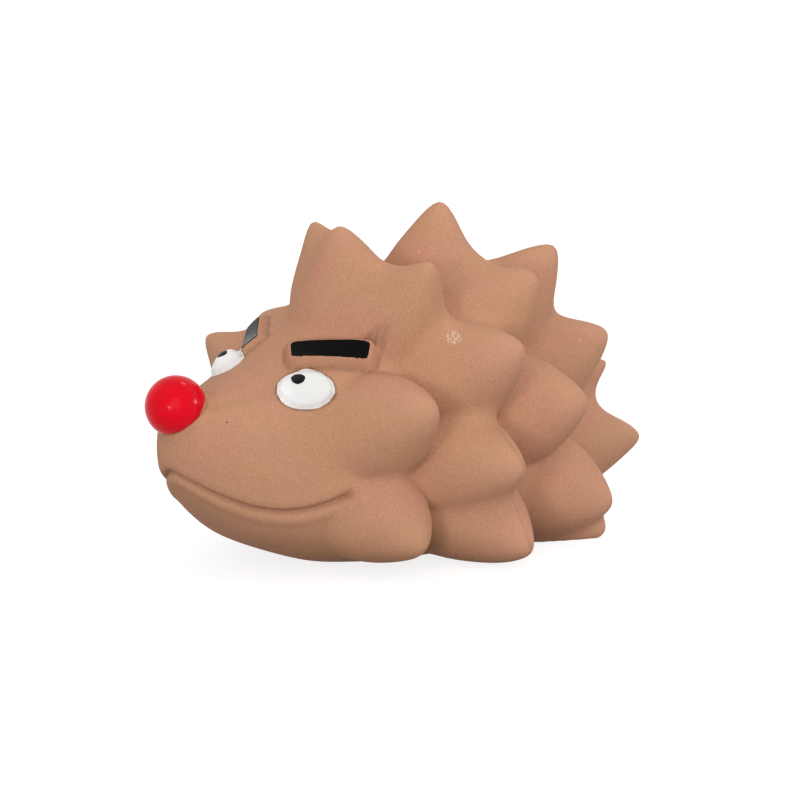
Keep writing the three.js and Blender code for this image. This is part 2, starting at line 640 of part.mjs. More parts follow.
// Reed: a thin tongue clamped at one end, and the staple that clamps it
const clipInner = -SEAT_WINDOW_LENGTH / 2 - CLEARANCE;
const clipOuter = clipInner - CLIP_LENGTH;
function reed() {
  const half = REED_WIDTH / 2;
  const straight = REED_LENGTH - half;
  const shape = new THREE.Shape();
  shape.moveTo(0, -half);
  shape.lineTo(straight, -half);
  shape.absarc(straight, 0, half, -Math.PI / 2, Math.PI / 2, false);
  shape.lineTo(0, half);
  shape.closePath();
  return new THREE.ExtrudeGeometry(shape, {
    depth: REED_THICKNESS,
    curveSegments: REED_TIP_SEGMENTS,
    bevelEnabled: false,
  }).translate(clipOuter, 0, reedBottom);
}
function reedClip() {
  const inner = REED_WIDTH / 2 + CLEARANCE;
  const outer = inner + CLIP_LEG_WIDTH;
  const foot = seatTop + CLEARANCE;
  const under = reedTop + CLEARANCE;
  const over = under + CLIP_THICKNESS;
  const shape = new THREE.Shape([
    new THREE.Vector2(-outer, foot),
    new THREE.Vector2(-inner, foot),
    new THREE.Vector2(-inner, under),
    new THREE.Vector2(inner, under),
    new THREE.Vector2(inner, foot),
    new THREE.Vector2(outer, foot),
    new THREE.Vector2(outer, over),
    new THREE.Vector2(-outer, over),
  ]);
  return new THREE.ExtrudeGeometry(shape, { depth: CLIP_LENGTH, bevelEnabled: false })
    .rotateX(Math.PI / 2)
    .rotateZ(Math.PI / 2)
    .translate(clipOuter, 0, 0);
}

// Materials
const latex = { color: 0xc4937a, roughness: 0.85, metalness: 0 };
const redGloss = { color: 0xc9101c, roughness: 0.2, metalness: 0 };
const whiteGloss = { color: 0xf2f1ee, roughness: 0.35, metalness: 0 };
const blackGloss = { color: 0x171616, roughness: 0.3, metalness: 0 };
const wadding = { color: 0xf0efe9, roughness: 1, metalness: 0 };
const whitePlastic = { color: 0xe9e8e2, roughness: 0.45, metalness: 0 };
const reedFilm = { color: 0xd9dde0, roughness: 0.3, metalness: 0 };

function piece(name, geometry, look) {
  const mesh = new THREE.Mesh(geometry, new THREE.MeshStandardMaterial(look));
  mesh.name = name;
  return mesh;
}

const hedgehog = new THREE.Group();
hedgehog.add(piece('latex_body', latexBody(), latex));
hedgehog.add(piece('fibre_fill', fibreFill(), wadding));
const nosePaintPiece = piece('nose_paint', nosePaint(), redGloss);
nosePaintPiece.position.copy(noseCentre);
hedgehog.add(nosePaintPiece);
for (const [side, word] of [[1, 'left'], [-1, 'right']]) {
  hedgehog.add(piece(`eye_paint_${word}`, eyePaint(side), whiteGloss));
  hedgehog.add(piece(`pupil_paint_${word}`, pupilPaint(side), blackGloss));
  hedgehog.add(piece(`brow_paint_${word}`, browPaint(side), blackGloss));
}
const squeaker = new THREE.Group();
squeaker.position.x = squeakerX;
squeaker.add(piece('squeaker_body', squeakerBody(), whitePlastic));
squeaker.add(piece('squeaker_reed_seat', reedSeat(), whitePlastic));
squeaker.add(piece('squeaker_reed', reed(), reedFilm));
squeaker.add(piece('squeaker_reed_clip', reedClip(), whitePlastic));
squeaker.add(piece('squeaker_cap', squeakerCap(), whitePlastic));
hedgehog.add(squeaker);

// The origin is the middle of the toy's box, at the level that it stands on
const box = new THREE.Box3().setFromObject(hedgehog);
const middle = box.getCenter(new THREE.Vector3());
hedgehog.position.set(-middle.x, -middle.y, -box.min.z);

export default hedgehog;
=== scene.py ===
"""Latex hedgehog squeaky dog toy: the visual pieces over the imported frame.

Laid out as an add-on and run as a script. Inside the functions lengths are millimetres and
angles are degrees, and they turn into metres when a mesh is made. The nose points to -X,
the toy's own left side to -Y, and the belly stands on Z = 0. "share" runs along the shell
from the nose, 0, to the tail, 1, and the angle runs round it: 0 left side, 90 top, 180
right side, 270 belly.
"""

import bpy
import numpy as np
from bpy.props import FloatProperty, FloatVectorProperty, PointerProperty
from mathutils import Matrix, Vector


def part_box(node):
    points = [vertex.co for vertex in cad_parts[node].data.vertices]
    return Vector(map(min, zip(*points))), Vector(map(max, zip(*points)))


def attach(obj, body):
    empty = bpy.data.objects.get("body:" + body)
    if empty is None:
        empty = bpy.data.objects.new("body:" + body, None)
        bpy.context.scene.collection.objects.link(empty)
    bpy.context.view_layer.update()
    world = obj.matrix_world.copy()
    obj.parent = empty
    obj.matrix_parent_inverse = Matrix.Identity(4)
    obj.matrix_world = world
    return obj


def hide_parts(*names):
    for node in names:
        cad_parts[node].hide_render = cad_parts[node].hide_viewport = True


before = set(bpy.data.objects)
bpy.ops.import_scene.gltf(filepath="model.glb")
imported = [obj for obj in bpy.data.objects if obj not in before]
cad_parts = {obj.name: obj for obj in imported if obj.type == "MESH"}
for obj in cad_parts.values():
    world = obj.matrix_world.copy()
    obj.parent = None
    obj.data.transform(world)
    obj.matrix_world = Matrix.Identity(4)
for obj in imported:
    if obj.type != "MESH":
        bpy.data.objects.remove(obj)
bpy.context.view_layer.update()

bl_info = {
    "name": "Latex Hedgehog Toy",
    "version": (1, 0, 0),
    "blender": (4, 5, 0),
    "location": "3D View > Sidebar > Hedgehog Toy",
    "description": "Builds the latex shell, paints, wadding, squeaker finishes and stage",
    "category": "Object",
}

MM = 0.001

# Stations of the shell's core: place along the length, half width, top, bottom, as shares
STATIONS = np.array([
    [0, 0, 0.51, 0.51],
    [0.015, 0.215, 0.64, 0.395],
    [0.07, 0.42, 0.698, 0.26],
    [0.15, 0.66, 0.75, 0.14],
    [0.245, 0.86, 0.82, 0.055],
    [0.35, 0.96, 0.92, 0.005],
    [0.47, 0.95, 0.985, -0.02],
    [0.615, 0.92, 1, -0.035],
    [0.755, 0.83, 0.935, -0.06],
    [0.875, 0.65, 0.785, -0.04],
    [0.95, 0.45, 0.61, 0.04],
    [0.99, 0.225, 0.455, 0.175],
    [1, 0, 0.315, 0.315],
])
# Share of the length ahead of the origin, and height of the widest line in a section
NOSE_END = 0.589
WIDEST = 0.4
# Power of the lower half's superellipse
LOWER_POWER = 2.5

# Spines: share, angle, height, spread, lean to the tail, lean round the body, flare of the
# foot as a power and rounding of the tip
SPINES = np.array([
    [0.482, 96.1, 1.21, 0.74, 0, 0, 1.2, 0.16],
    [0.479, 84.1, 1.23, 0.92, 0, 0, 1.15, 0.18],
    [0.62, 88, 1.23, 0.96, -0.16, 0, 1.15, 0.16],
    [0.65, 107, 0.86, 0.96, 0, 0, 1.25, 0.16],
    [0.507, 60.8, 1.09, 0.7, 0.25, 0, 0.85, 0.2],
    [0.54, 123, 0.9, 1, 0, 0, 1.25, 0.16],
    [0.631, 59.4, 0.98, 0.78, 0.4, 0, 0.8, 0.22],
    [0.712, 83, 1.33, 0.88, 0.2, 0, 1, 0.18],
    [0.74, 102, 1.25, 0.9, 0, 0, 1.25, 0.16],
    [0.801, 71.5, 1.14, 0.8, 0.3, 0, 0.9, 0.2],
    [0.91, 98, 1.35, 0.6, 0, 0, 1.25, 0.16],
    [0.98, 318.4, 1.62, 0.85, 0, 0, 1, 0.16],
    [0.743, 345.1, 0.85, 0.82, 0.35, 0, 0.75, 0.22],
    [0.76, 194, 0.91, 1, 0, 0, 1.25, 0.16],
    [0.77, 323, 0.82, 0.98, 0.1, 0.24, 1.25, 0.16],
    [0.87, 227, 0.83, 1, 0, 0, 1.25, 0.16],
    [0.673, 21.3, 0.82, 0.8, 0.4, 0, 0.85, 0.24],
    [0.673, 158.7, 0.82, 0.8, 0.4, 0, 0.85, 0.24],
    [0.8, 119, 0.98, 1, 0, 0, 1.25, 0.16],
    [0.55, 0.6, 0.94, 0.8, 0.35, 0, 0.85, 0.24],
    [0.55, 179.4, 0.94, 0.8, 0.35, 0, 0.85, 0.24],
    [0.559, 32.8, 1.04, 0.82, 0.4, 0, 0.85, 0.28],
    [0.559, 147.2, 1.04, 0.82, 0.4, 0, 0.85, 0.28],
    [0.427, 21.1, 0.9, 0.77, 0.3, 0, 0.94, 0.36],
    [0.45, 149, 1, 0.78, -0.22, 0.05, 1.25, 0.16],
    [0.57, 335.2, 1.02, 0.78, 0.35, 0, 0.8, 0.22],
    [0.57, 204.8, 1.02, 0.78, 0.35, 0, 0.8, 0.22],
    [0.422, 337.2, 0.65, 0.74, 0.45, 0, 0.8, 0.26],
    [0.422, 202.8, 0.65, 0.74, 0.45, 0, 0.8, 0.26],
    [0.47, 137, 0.5, 0.84, 0, 0, 1.25, 0.16],
    [0.69, 132, 0.8, 0.9, 0, 0, 1.25, 0.16],
])
# How soon the cones run out into the core, and the power that keeps the creases narrow
RUN_OUT = 0.2
CREASE_POWER = 6
# Slow unevenness: seed and lengths of its waves
LUMP_SEED = 11
LUMP_WAVES = (7.0, 8.5, 10.5, 13.0, 16.0, 19.0, 22.0)
# The flat bridge of the snout: shares where it starts and ends, with the runs over which it
# comes and goes, and degrees down the side where it ends and over which it fades
BRIDGE = {"start": 0.09, "run_in": 0.08, "end": 0.42, "run_out": 0.1, "down": 44, "fade": 22}

# Face patches by side, 1 left and -1 right: centre, step to the rear edge, step to the upper
# edge, and the rise as a share of the full one. An eye's height shrinks to the rear by its
# taper. The right ones are given as their mirror image
EYES = {
    1: {"centre": (0.3315, 51.2), "rear": (0.0376, -8), "upper": (0.0191, 10.6), "rise": 1},
    -1: {"centre": (0.33, 57.0), "rear": (0.034, -5.2), "upper": (0.014, 8.1), "rise": 1.85},
}
EYE_TAPER = {1: 0.3, -1: 0.32}
BROWS = {
    1: {"centre": (0.3976, 62.4), "rear": (0.0457, -13.7), "upper": (0.0079, 3.5), "rise": 1.3},
    -1: {"centre": (0.39, 61.6), "rear": (0.031, -7.8), "upper": (0.0091, 3), "rise": 0.82},
}
EYE_POWER = 2.15
# Share of an eye's reach over which its edge rises
EYE_EDGE = 0.18
# Middle of each pupil on its eye's patch, and half its size there
PUPILS = {1: (-0.245, 0.26), -1: (-0.12, 0.02)}
PUPIL_REACH = (0.235, 0.32)
# Half length, half height, corner radius, sag and taper to the rear of the brow bar
BROW_HALF = (6.6, 1.75)
BROW_CORNER = 0.7
BROW_SAG = 0.89
BROW_TAPER = 0.15
# Power of the superellipse that the paint on it follows
BROW_POWER = 9
# Place across the bar where its height is the plain one
BROW_PLAIN = 0.3
# How far the moulded bar stands out past the paint's line, and the width of its sloping side
BROW_LEDGE = 1.0
BROW_SLOPE = 0.8
# How far outside that line the levelled bed reaches, and the width over which it fades
BED_REACH = 1.8
BED_FADE = 0.8
# Painted shade along the feet of the eyes and brow bars: distance outside an eye's or a
# brow's edge, half width, strength
EYE_SHADE_LINE = (0.03, 0.09, 1.0)
BROW_SHADE_LINE = (1.25, 0.7, 0.6)

# Mouth line from the middle of the lip to the left corner: share, angle
MOUTH = np.array([
    [0.074, -90],
    [0.1035, -54.9],
    [0.1426, -38.7],
    [0.1817, -30.8],
    [0.218, -25.5],
    [0.2553, -19.3],
    [0.2848, -14.3],
    [0.3106, -9.5],
    [0.3364, -5.4],
    [0.3536, -2.8],
    [0.3612, -1.6],
])
MOUTH_STEPS = 640
# Lips: how far from the line they swell, the width of the swell, its height below and above
LIP_AWAY = 1.7
LIP_WIDTH = 1.1
LIP_BELOW = 0.32
LIP_ABOVE = 0.14
# Share and height up to which the mouth is worked out
MOUTH_END = 0.43
MOUTH_TOP = 32
# Nose ball: share and angle of its middle, tilt and half sweep of the paint in degrees, and
# height and width of the fillet round its foot
NOSE_PLACE = (0.1, 90.0)
NOSE_TILT = 47.0
NOSE_SWEEP = 106.0
NOSE_FILLET = (0.3, 0.8)

# Rings and columns of the shell's grid
FACE_SHARE = 0.45
FACE_RINGS = 146
BACK_RINGS = 112
COLUMNS = 340
# Place along X of the squeaker's axis, before the frame's shift
SQUEAKER_X = -1.0
# The belly hole, round that axis: radius and height of each corner of its profile
OPENING = [(8.3, -2.0), (8.3, 1.7), (5.9, 1.7), (5.9, 5.5)]
# The thick lip round the hole: radius, slope outside it and height inside the shell
LIP_RADIUS = 11.0
LIP_SLOPE = 1.5
LIP_TOP = 3.9
# Wadding: least gap to the wall, what the gap swells by, and its lowest height over the belly,
# over the lip and over the squeaker, with radius and slope of the last two
WADDING_GAP = 0.6
WADDING_SWELL = 0.7
WADDING_FLOOR = 3.0
OVER_LIP = {"height": 4.6, "radius": 13.6, "slope": 1.6}
OVER_SQUEAKER = {"height": 12.6, "radius": 11.0, "slope": 2.0}
# Coats of paint: how far they are sunk under the latex, and the pupils' thickness
COAT_SUNK = 0.12
PUPIL_FILM = 0.09
# Middle of the patch of dried powder and place of the seam, before the frame's shift
POWDER_PLACE = (-4.0, -20.6, 40.0)
SEAM_X = 6.3

# Camera: its right, up and forward, its place along them, and its lens
CAMERA_RIGHT = np.array([0.7880, -0.6157, 0.0])
CAMERA_UP = np.array([0.1175, 0.1504, 0.9816])
CAMERA_AWAY = np.array([0.6044, 0.7735, -0.1908])
CAMERA_PLACE = (0.3516, 25.14, -900.0)
LENS = 230.4
# Lamps: name, setting that holds the strength, width on the sky in degrees, and the way that
# the light comes from
LAMPS = (
    ("top softbox", "top", 10.0, (0.46, 0.12, 0.88)),
    ("front softbox", "front", 12.0, (-0.87, -0.5, 0.1)),
    ("side softbox", "side", 12.0, (0.71, -0.65, 0.26)),
    ("fill softbox", "fill", 40.0, (-0.6, -0.78, 0.35)),
)
FLOOR_HALF = 3.0
FLOOR_LEVEL = -0.00005


def tint(red, green, blue):
    """A colour as it is seen on screen, 0 to 255, turned into linear light."""
    seen = np.array([red, green, blue]) / 255
    return tuple(np.where(seen < 0.04045, seen / 12.92, ((seen + 0.055) / 1.055) ** 2.4).tolist())


def smooth(value):
    """0 below 0, 1 above 1 and an S-shaped rise between them."""
    part = np.clip(value, 0, 1)
    return part * part * (3 - 2 * part)


def cad_shift():
    """How far the frame moved the toy along X, by the middle of the squeaker's cap."""
    low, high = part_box("squeaker_cap")
    return (low.x + high.x) / 2 / MM - SQUEAKER_X


SHIFT = cad_shift()


# The shell's form

def closed_spline(values, place):
    """Uniform Catmull-Rom curve through a closed ring of values, at each place on it."""
    count = len(values)
    first = np.floor(place).astype(int)
    part = place - first
    before, start, end, after = (values[(first + step) % count] for step in (-1, 0, 1, 2))
    slope = (end - before) * part
    bend = (2 * before - 5 * start + 4 * end - after) * part**2
    twist = (3 * start - before - 3 * end + after) * part**3
    return (2 * start + slope + bend + twist) / 2


def station_ring(column, below):
    """A column of the stations out along one side and back along the other."""
    return np.concatenate([STATIONS[:, column], below[1:-1][::-1]])


def core_points(share, angle):
    """Sections through splined stations: the upper half of each is an ellipse, the lower half
    a superellipse, and both meet at the section's widest line."""
    sizes = bpy.context.scene.hedgehog_shell
    last = len(STATIONS) - 1
    out = share * last
    back = (2 * last - out) % (2 * last)
    along = station_ring(0, STATIONS[:, 0])
    width = station_ring(1, -STATIONS[:, 1])
    height = station_ring(2, STATIONS[:, 3])
    x = (closed_spline(along, out) - NOSE_END) * sizes.length / MM
    half = np.maximum(closed_spline(width, out), 0) * sizes.half_width / MM
    top = closed_spline(height, out) * sizes.height / MM
    bottom = closed_spline(height, back) * sizes.height / MM
    middle = bottom + (top - bottom) * WIDEST
    turn = np.radians(angle)
    side, lift = np.cos(turn), np.sin(turn)
    power = 2 / LOWER_POWER
    low_side = np.sign(side) * np.abs(side) ** power
    low_lift = np.sign(lift) * np.abs(lift) ** power
    upper = lift > 0
    y = -half * np.where(upper, side, low_side)
    z = middle + np.where(upper, (top - middle) * lift, (middle - bottom) * low_lift)
    return np.stack([x, y, z], -1)


def unit(vectors):
    """Vectors of length 1."""
    return vectors / np.maximum(np.linalg.norm(vectors, axis=-1, keepdims=True), 1e-9)


def surface_frame(surface, share, angle):
    """Unit tangents along and round, and the outward normal, by differences of the surface."""
    probe = 0.002
    ahead = surface(np.minimum(share + probe, 1), angle)
    along = unit(ahead - surface(np.maximum(share - probe, 0), angle))
    turn = np.degrees(probe)
    around = unit(surface(share, angle + turn) - surface(share, angle - turn))
    return along, around, unit(np.cross(along, around))


def spine_table():
    """Root, vector to the tip, and spread of every spine."""
    sizes = bpy.context.scene.hedgehog_shell
    share, angle = SPINES[:, 0], SPINES[:, 1]
    along, around, normal = surface_frame(core_points, share, angle)
    lean = along * SPINES[:, 4:5] + around * SPINES[:, 5:6]
    vector = (normal + lean) * SPINES[:, 2:3] * sizes.spine_height / MM
    return core_points(share, angle), vector, SPINES[:, 3] * sizes.spine_spread / MM


def cone_heights(points):
    """For each spine, a cone with a rounded tip and a flared foot: 1 at its root on the core,
    0 at its spread, with the distance from the root between them."""
    roots, _, spread = spine_table()
    reach = [np.linalg.norm(points - root, axis=-1) / wide for root, wide in zip(roots, spread)]
    reach = np.minimum(np.stack(reach), 1)
    flare, rounding = SPINES[:, 6:].T.reshape(2, -1, *[1] * (reach.ndim - 1))
    rise = np.hypot(reach, rounding) - rounding
    full = np.hypot(1, rounding) - rounding
    return (1 - rise / full) ** flare


def bridge_dip(share, angle):
    """Depth of the flat bridge of the snout: full along the top from the nose to the brows,
    and fading out down both sides towards the eyes."""
    down = np.abs((angle - 90 + 180) % 360 - 180)
    along = smooth((share - BRIDGE["start"]) / BRIDGE["run_in"])
    along = along * smooth((BRIDGE["end"] - share) / BRIDGE["run_out"])
    depth = bpy.context.scene.hedgehog_face.bridge_dip / MM
    return depth * along * smooth((BRIDGE["down"] - down) / BRIDGE["fade"])


def body_points(share, angle):
    """The core drawn out by the cones, less the dip of the bridge. The cones' heights are
    blended by a high power, so the highest one takes over and the creases stay narrow."""
    points = core_points(share, angle)
    _, _, normal = surface_frame(core_points, share, angle)
    _, vector, _ = spine_table()
    heights = cone_heights(points)
    weights = heights ** (CREASE_POWER - 1)
    total = weights.sum(0) + RUN_OUT ** (CREASE_POWER - 1)
    pull = np.einsum("s...,sk->...k", weights * heights, vector)
    points = points + pull / total[..., None] - normal * bridge_dip(share, angle)[..., None]
    points[..., 2] = np.maximum(points[..., 2], 0)
    return points


def patch_place(patch, share, angle, side):
    """Coordinates on a face patch, 1 at its rear and upper edges. side is 1 left, -1 right."""
    turned = angle if side > 0 else 180 - angle
    turned = (turned + 180) % 360 - 180
    along, high = share - patch["centre"][0], turned - patch["centre"][1]
    (a, c), (b, d) = patch["rear"], patch["upper"]
    det = a * d - b * c
    return (along * d - high * b) / det, (high * a - along * c) / det


def patch_spot(patch, across, high, side):
    """Share and angle of a place on a face patch, the other way round."""
    share = patch["centre"][0] + patch["rear"][0] * across + patch["upper"][0] * high
    angle = patch["centre"][1] + patch["rear"][1] * across + patch["upper"][1] * high
    return share, angle if side > 0 else 180 - angle


def eye_reach(share, angle, side):
    """How far out a place lies in an eye's outline, which is 1."""
    across, high = patch_place(EYES[side], share, angle, side)
    high = high / np.maximum(1 - EYE_TAPER[side] * across, 0.3)
    return (np.abs(across) ** EYE_POWER + np.abs(high) ** EYE_POWER) ** (1 / EYE_POWER)


def eye_dome(share, angle, side):
    """Height of the low dome: a rim with a rounded edge, and a parabola over it."""
    sizes = bpy.context.scene.hedgehog_face
    reach = eye_reach(share, angle, side)
    crown = sizes.eye_rise * EYES[side]["rise"] - sizes.eye_rim
    dome = sizes.eye_rim + crown * (1 - np.minimum(reach, 1) ** 2)
    return dome / MM * smooth((1.0 - reach) / EYE_EDGE)


def brow_edge(across, high):
    """Distance inside the edge of the brow's rounded bar, in millimetres, less than 0 outside.
    The bar sags in its middle, against the bulge of the forehead, and tapers to the rear."""
    half_long, half_high = BROW_HALF
    side = np.abs(across) * half_long - (half_long - BROW_CORNER)
    high = high / np.maximum(1 + BROW_TAPER * (BROW_PLAIN - across), 0.5)
    level = high * half_high + BROW_SAG * (1 - across**2)
    end = np.abs(level) - (half_high - BROW_CORNER)
    outside = np.hypot(np.maximum(side, 0), np.maximum(end, 0))
    return BROW_CORNER - outside - np.minimum(np.maximum(side, end), 0)


def brow_bar(share, angle, side):
    """Height of the brow bar: flat on top to just outside the paint, then sloping sides."""
    rise = bpy.context.scene.hedgehog_face.brow_rise / MM * BROWS[side]["rise"]
    inside = brow_edge(*patch_place(BROWS[side], share, angle, side))
    return rise * smooth((inside + BROW_LEDGE) / BROW_SLOPE)


def mouth_line():
    """The mouth's line, left corner to right, as close points on the body."""
    left = MOUTH[::-1]
    right = np.stack([MOUTH[1:, 0], -180 - MOUTH[1:, 1]], -1)
    path = body_points(*np.concatenate([left, right]).T)
    path = np.concatenate([2 * path[:1] - path[1:2], path, 2 * path[-1:] - path[-2:-1]])
    place = np.linspace(1, len(path) - 2 - 1e-6, MOUTH_STEPS)
    return np.stack([closed_spline(path[:, axis], place) for axis in range(3)], -1)


def mouth_distance(points, line):
    """Distance to the mouth's line, and how far above the nearest point of it."""
    near = np.full(points.shape[:-1], 1e9)
    above = np.zeros(points.shape[:-1])
    for spot in line:
        distance = ((points - spot) ** 2).sum(-1)
        closer = distance < near
        near = np.where(closer, distance, near)
        above = np.where(closer, points[..., 2] - spot[2], above)
    return np.sqrt(near), above


def mouth_relief(points):
    """A rounded groove along the lips, with the lower lip swelling under it."""
    sizes = bpy.context.scene.hedgehog_face
    distance, above = mouth_distance(points, mouth_line())
    groove = np.exp(-((distance / (sizes.mouth_width / MM / 2)) ** 2))
    swell = np.exp(-(((distance - LIP_AWAY) / LIP_WIDTH) ** 2))
    swell = swell * np.where(above < 0, LIP_BELOW, LIP_ABOVE)
    return swell - sizes.mouth_depth / MM * groove, groove


def lumps(points):
    """Slow unevenness of hand-finished latex: waves of 7 to 22 mm in fixed directions."""
    seeded = np.random.default_rng(LUMP_SEED)
    total = np.zeros(points.shape[:-1])
    for length in LUMP_WAVES:
        way = unit(seeded.normal(size=3)) * 2 * np.pi / length
        total += np.sin(points @ way + seeded.uniform(0, 2 * np.pi)) * length / 14
    return total / len(LUMP_WAVES)


def nose_centre():
    """The nose ball sits on the muzzle's surface."""
    return core_points(np.array(NOSE_PLACE[0]), np.array(NOSE_PLACE[1]))


def shell_relief(points, share, angle):
    """How far the moulding stands off the plain body, and the mask of the mouth groove."""
    sizes = bpy.context.scene.hedgehog_shell
    relief = lumps(points) * sizes.unevenness / MM
    for side in (1, -1):
        relief = relief + eye_dome(share, angle, side) + brow_bar(share, angle, side)
    groove = np.zeros(points.shape[:-1])
    face = (share < MOUTH_END) & (points[..., 2] < MOUTH_TOP)
    if face.any():
        raised, cut = mouth_relief(points[face])
        relief[face] += raised
        groove[face] = cut
    ball = bpy.context.scene.hedgehog_face.nose_radius / MM
    away = np.linalg.norm(points - nose_centre(), axis=-1) - ball
    fillet, wide = NOSE_FILLET
    return relief + fillet * np.exp(-((away / wide) ** 2)), groove


def quadratic(across, high):
    """Terms of a surface of the second degree."""
    one = np.ones_like(across)
    return np.stack([one, across, high, across**2, across * high, high**2], -1)


def painted_shade_lines(share, angle):
    """Mask of the painted shade lines in the latex round the feet of the eyes and brow bars."""
    lines = np.zeros(share.shape)
    for side in (1, -1):
        outside = eye_reach(share, angle, side) - 1
        inside = brow_edge(*patch_place(BROWS[side], share, angle, side))
        for away, (place, half, strength) in ((outside, EYE_SHADE_LINE), (-inside, BROW_SHADE_LINE)):
            lines += strength * smooth(1 - np.abs(away - place) / half)
    return lines


def crease_and_tip(share, angle):
    """Masks of the creases, where two cones are nearly level, and of the cones' tips."""
    ordered = np.sort(cone_heights(core_points(share, angle)), axis=0)
    highest, second = ordered[-1], ordered[-2]
    crease = smooth((second / np.maximum(highest, 0.05) - 0.72) / 0.28)
    return crease * smooth((0.8 - highest) / 0.3), smooth((highest - 0.62) / 0.38)


def on_brow_beds(points, normal, share, angle):
    """Under each brow the body is levelled to the surface of the second degree nearest to it,
    and the normals turn one way, so that the bar rises as one even block."""
    spots = np.meshgrid(np.linspace(-1, 1, 9), np.linspace(-1.2, 1.2, 5), indexing="ij")
    middle = np.zeros(1), np.zeros(1)
    for side, patch in BROWS.items():
        across, high = patch_place(patch, share, angle, side)
        hold = smooth((brow_edge(across, high) + BED_REACH) / BED_FADE)[..., None]
        under = body_points(*patch_spot(patch, *spots, side)).reshape(-1, 3)
        bed = np.linalg.lstsq(quadratic(*spots).reshape(-1, 6), under, rcond=None)[0]
        _, _, up = surface_frame(body_points, *patch_spot(patch, *middle, side))
        points = points * (1 - hold) + quadratic(across, high) @ bed * hold
        normal = unit(normal * (1 - hold) + up[0] * hold)
    return points, normal


def shell_points(share, angle):
    """The finished outer surface, its normals on the plain body, and the groove mask."""
    points = body_points(share, angle)
    _, _, normal = surface_frame(body_points, share, angle)
    points, normal = on_brow_beds(points, normal, share, angle)
    relief, groove = shell_relief(points, share, angle)
    flat = points[..., 2] <= 0
    points = points + normal * relief[..., None]
    points[..., 2] = np.where(flat, 0, np.maximum(points[..., 2], 0))
    return points, normal, groove


# Meshes

def grid_faces(rings, columns):
    """Quads of a closed tube of rings, with fans to a pole before the first and after the last."""
    ring, step = np.meshgrid(np.arange(rings - 1), np.arange(columns), indexing="ij")
    here, ahead = ring * columns + step, ring * columns + (step + 1) % columns
    quads = np.stack([here, here + columns, ahead + columns, ahead], -1).reshape(-1, 4)
    step = np.arange(columns)
    ahead = (step + 1) % columns
    first, last = rings * columns, rings * columns + 1
    start = np.stack([np.full(columns, first), step, ahead], -1)
    base = (rings - 1) * columns
    end = np.stack([np.full(columns, last), base + ahead, base + step], -1)
    return quads, np.concatenate([start, end])


def mesh_from(name, points, quads, triangles):
    """A smooth mesh in metres from points in millimetres without the frame's shift."""
    mesh = bpy.data.meshes.new(name)
    placed = (points + np.array([SHIFT, 0, 0])) * MM
    corners = np.concatenate([quads.ravel(), triangles.ravel()]).astype(np.int32)
    starts = np.concatenate([
        np.arange(len(quads)) * 4,
        len(quads) * 4 + np.arange(len(triangles)) * 3,
    ]).astype(np.int32)
    mesh.vertices.add(len(placed))
    mesh.vertices.foreach_set("co", placed.astype(np.float32).ravel())
    mesh.loops.add(len(corners))
    mesh.loops.foreach_set("vertex_index", corners)
    mesh.polygons.add(len(starts))
    mesh.polygons.foreach_set("loop_start", starts)
    mesh.update(calc_edges=True)
    mesh.validate()
    mesh.polygons.foreach_set("use_smooth", np.ones(len(mesh.polygons), bool))
    return mesh


def add_piece(name, mesh, material, nodes):
    """Links a piece, gives it its material and rides it on the toy in place of CAD nodes."""
    piece = bpy.data.objects.new(name, mesh)
    bpy.context.scene.collection.objects.link(piece)
    mesh.materials.append(material)
    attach(piece, "toy")
    if nodes:
        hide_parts(*nodes)
    return piece


def store(mesh, name, values):
    """Keeps one number for each vertex under a name that materials read."""
    layer = mesh.attributes.new(name, "FLOAT", "POINT")
    layer.data.foreach_set("value", values.astype(np.float32).ravel())


def skin_mesh(surface, rings, columns, thickness, sunk):
    """A closed coat of paint: surface gives points and normals at a reach from 0 to 1 and a
    turn. The coat is full inside, rounds off over its last rings, ends under the latex and is
    closed from below."""
    reach = np.concatenate([np.linspace(0, 0.97, rings)[1:], [0.985, 0.996, 1.0, 1.0]])
    level = np.concatenate([np.ones(rings - 1), [0.95, 0.75, 0.4, -sunk / thickness]])
    turn = np.arange(columns) * 2 * np.pi / columns
    points, normal = surface(*np.meshgrid(reach, turn, indexing="ij"))
    top = points + normal * (level * thickness)[:, None, None]
    inner = np.array([0.66, 0.33])
    points, normal = surface(*np.meshgrid(inner, turn, indexing="ij"))
    under = points - normal * sunk
    centre, up = surface(np.zeros((1, 1)), np.zeros((1, 1)))
    poles = np.stack([(centre + up * thickness)[0, 0], (centre - up * sunk)[0, 0]])
    rows = np.concatenate([top, under])
    quads, triangles = grid_faces(len(rows), columns)
    return np.concatenate([rows.reshape(-1, 3), poles]), quads, triangles


def facing_out(points, quads, triangles):
    """Turns the faces round where the closed form's volume comes out less than 0."""
    halves = np.concatenate([quads[:, :3], quads[:, [0, 2, 3]], triangles])
    a, b, c = (points[halves[:, corner]] for corner in range(3))
    if np.einsum("ij,ij->", a, np.cross(b, c)) < 0:
        return quads[:, ::-1], triangles[:, ::-1]
    return quads, triangles


# Shader node groups

def group_socket(tree, name, way, kind="NodeSocketFloat", default=None):
    """Adds a named socket to a node group."""
    socket = tree.interface.new_socket(name=name, in_out=way, socket_type=kind)
    if default is not None:
        socket.default_value = default
    return socket


def link(tree, start, end):
    """Joins two sockets."""
    tree.links.new(start, end)


def math_node(tree, operation, first, second=None, clamp=False):
    """A Math node whose inputs are sockets or plain numbers."""
    node = tree.nodes.new("ShaderNodeMath")
    node.operation = operation
    node.use_clamp = clamp
    for socket, value in zip(node.inputs, (first, second)):
        if isinstance(value, (int, float)):
            socket.default_value = value
        elif value is not None:
            link(tree, value, socket)
    return node.outputs[0]


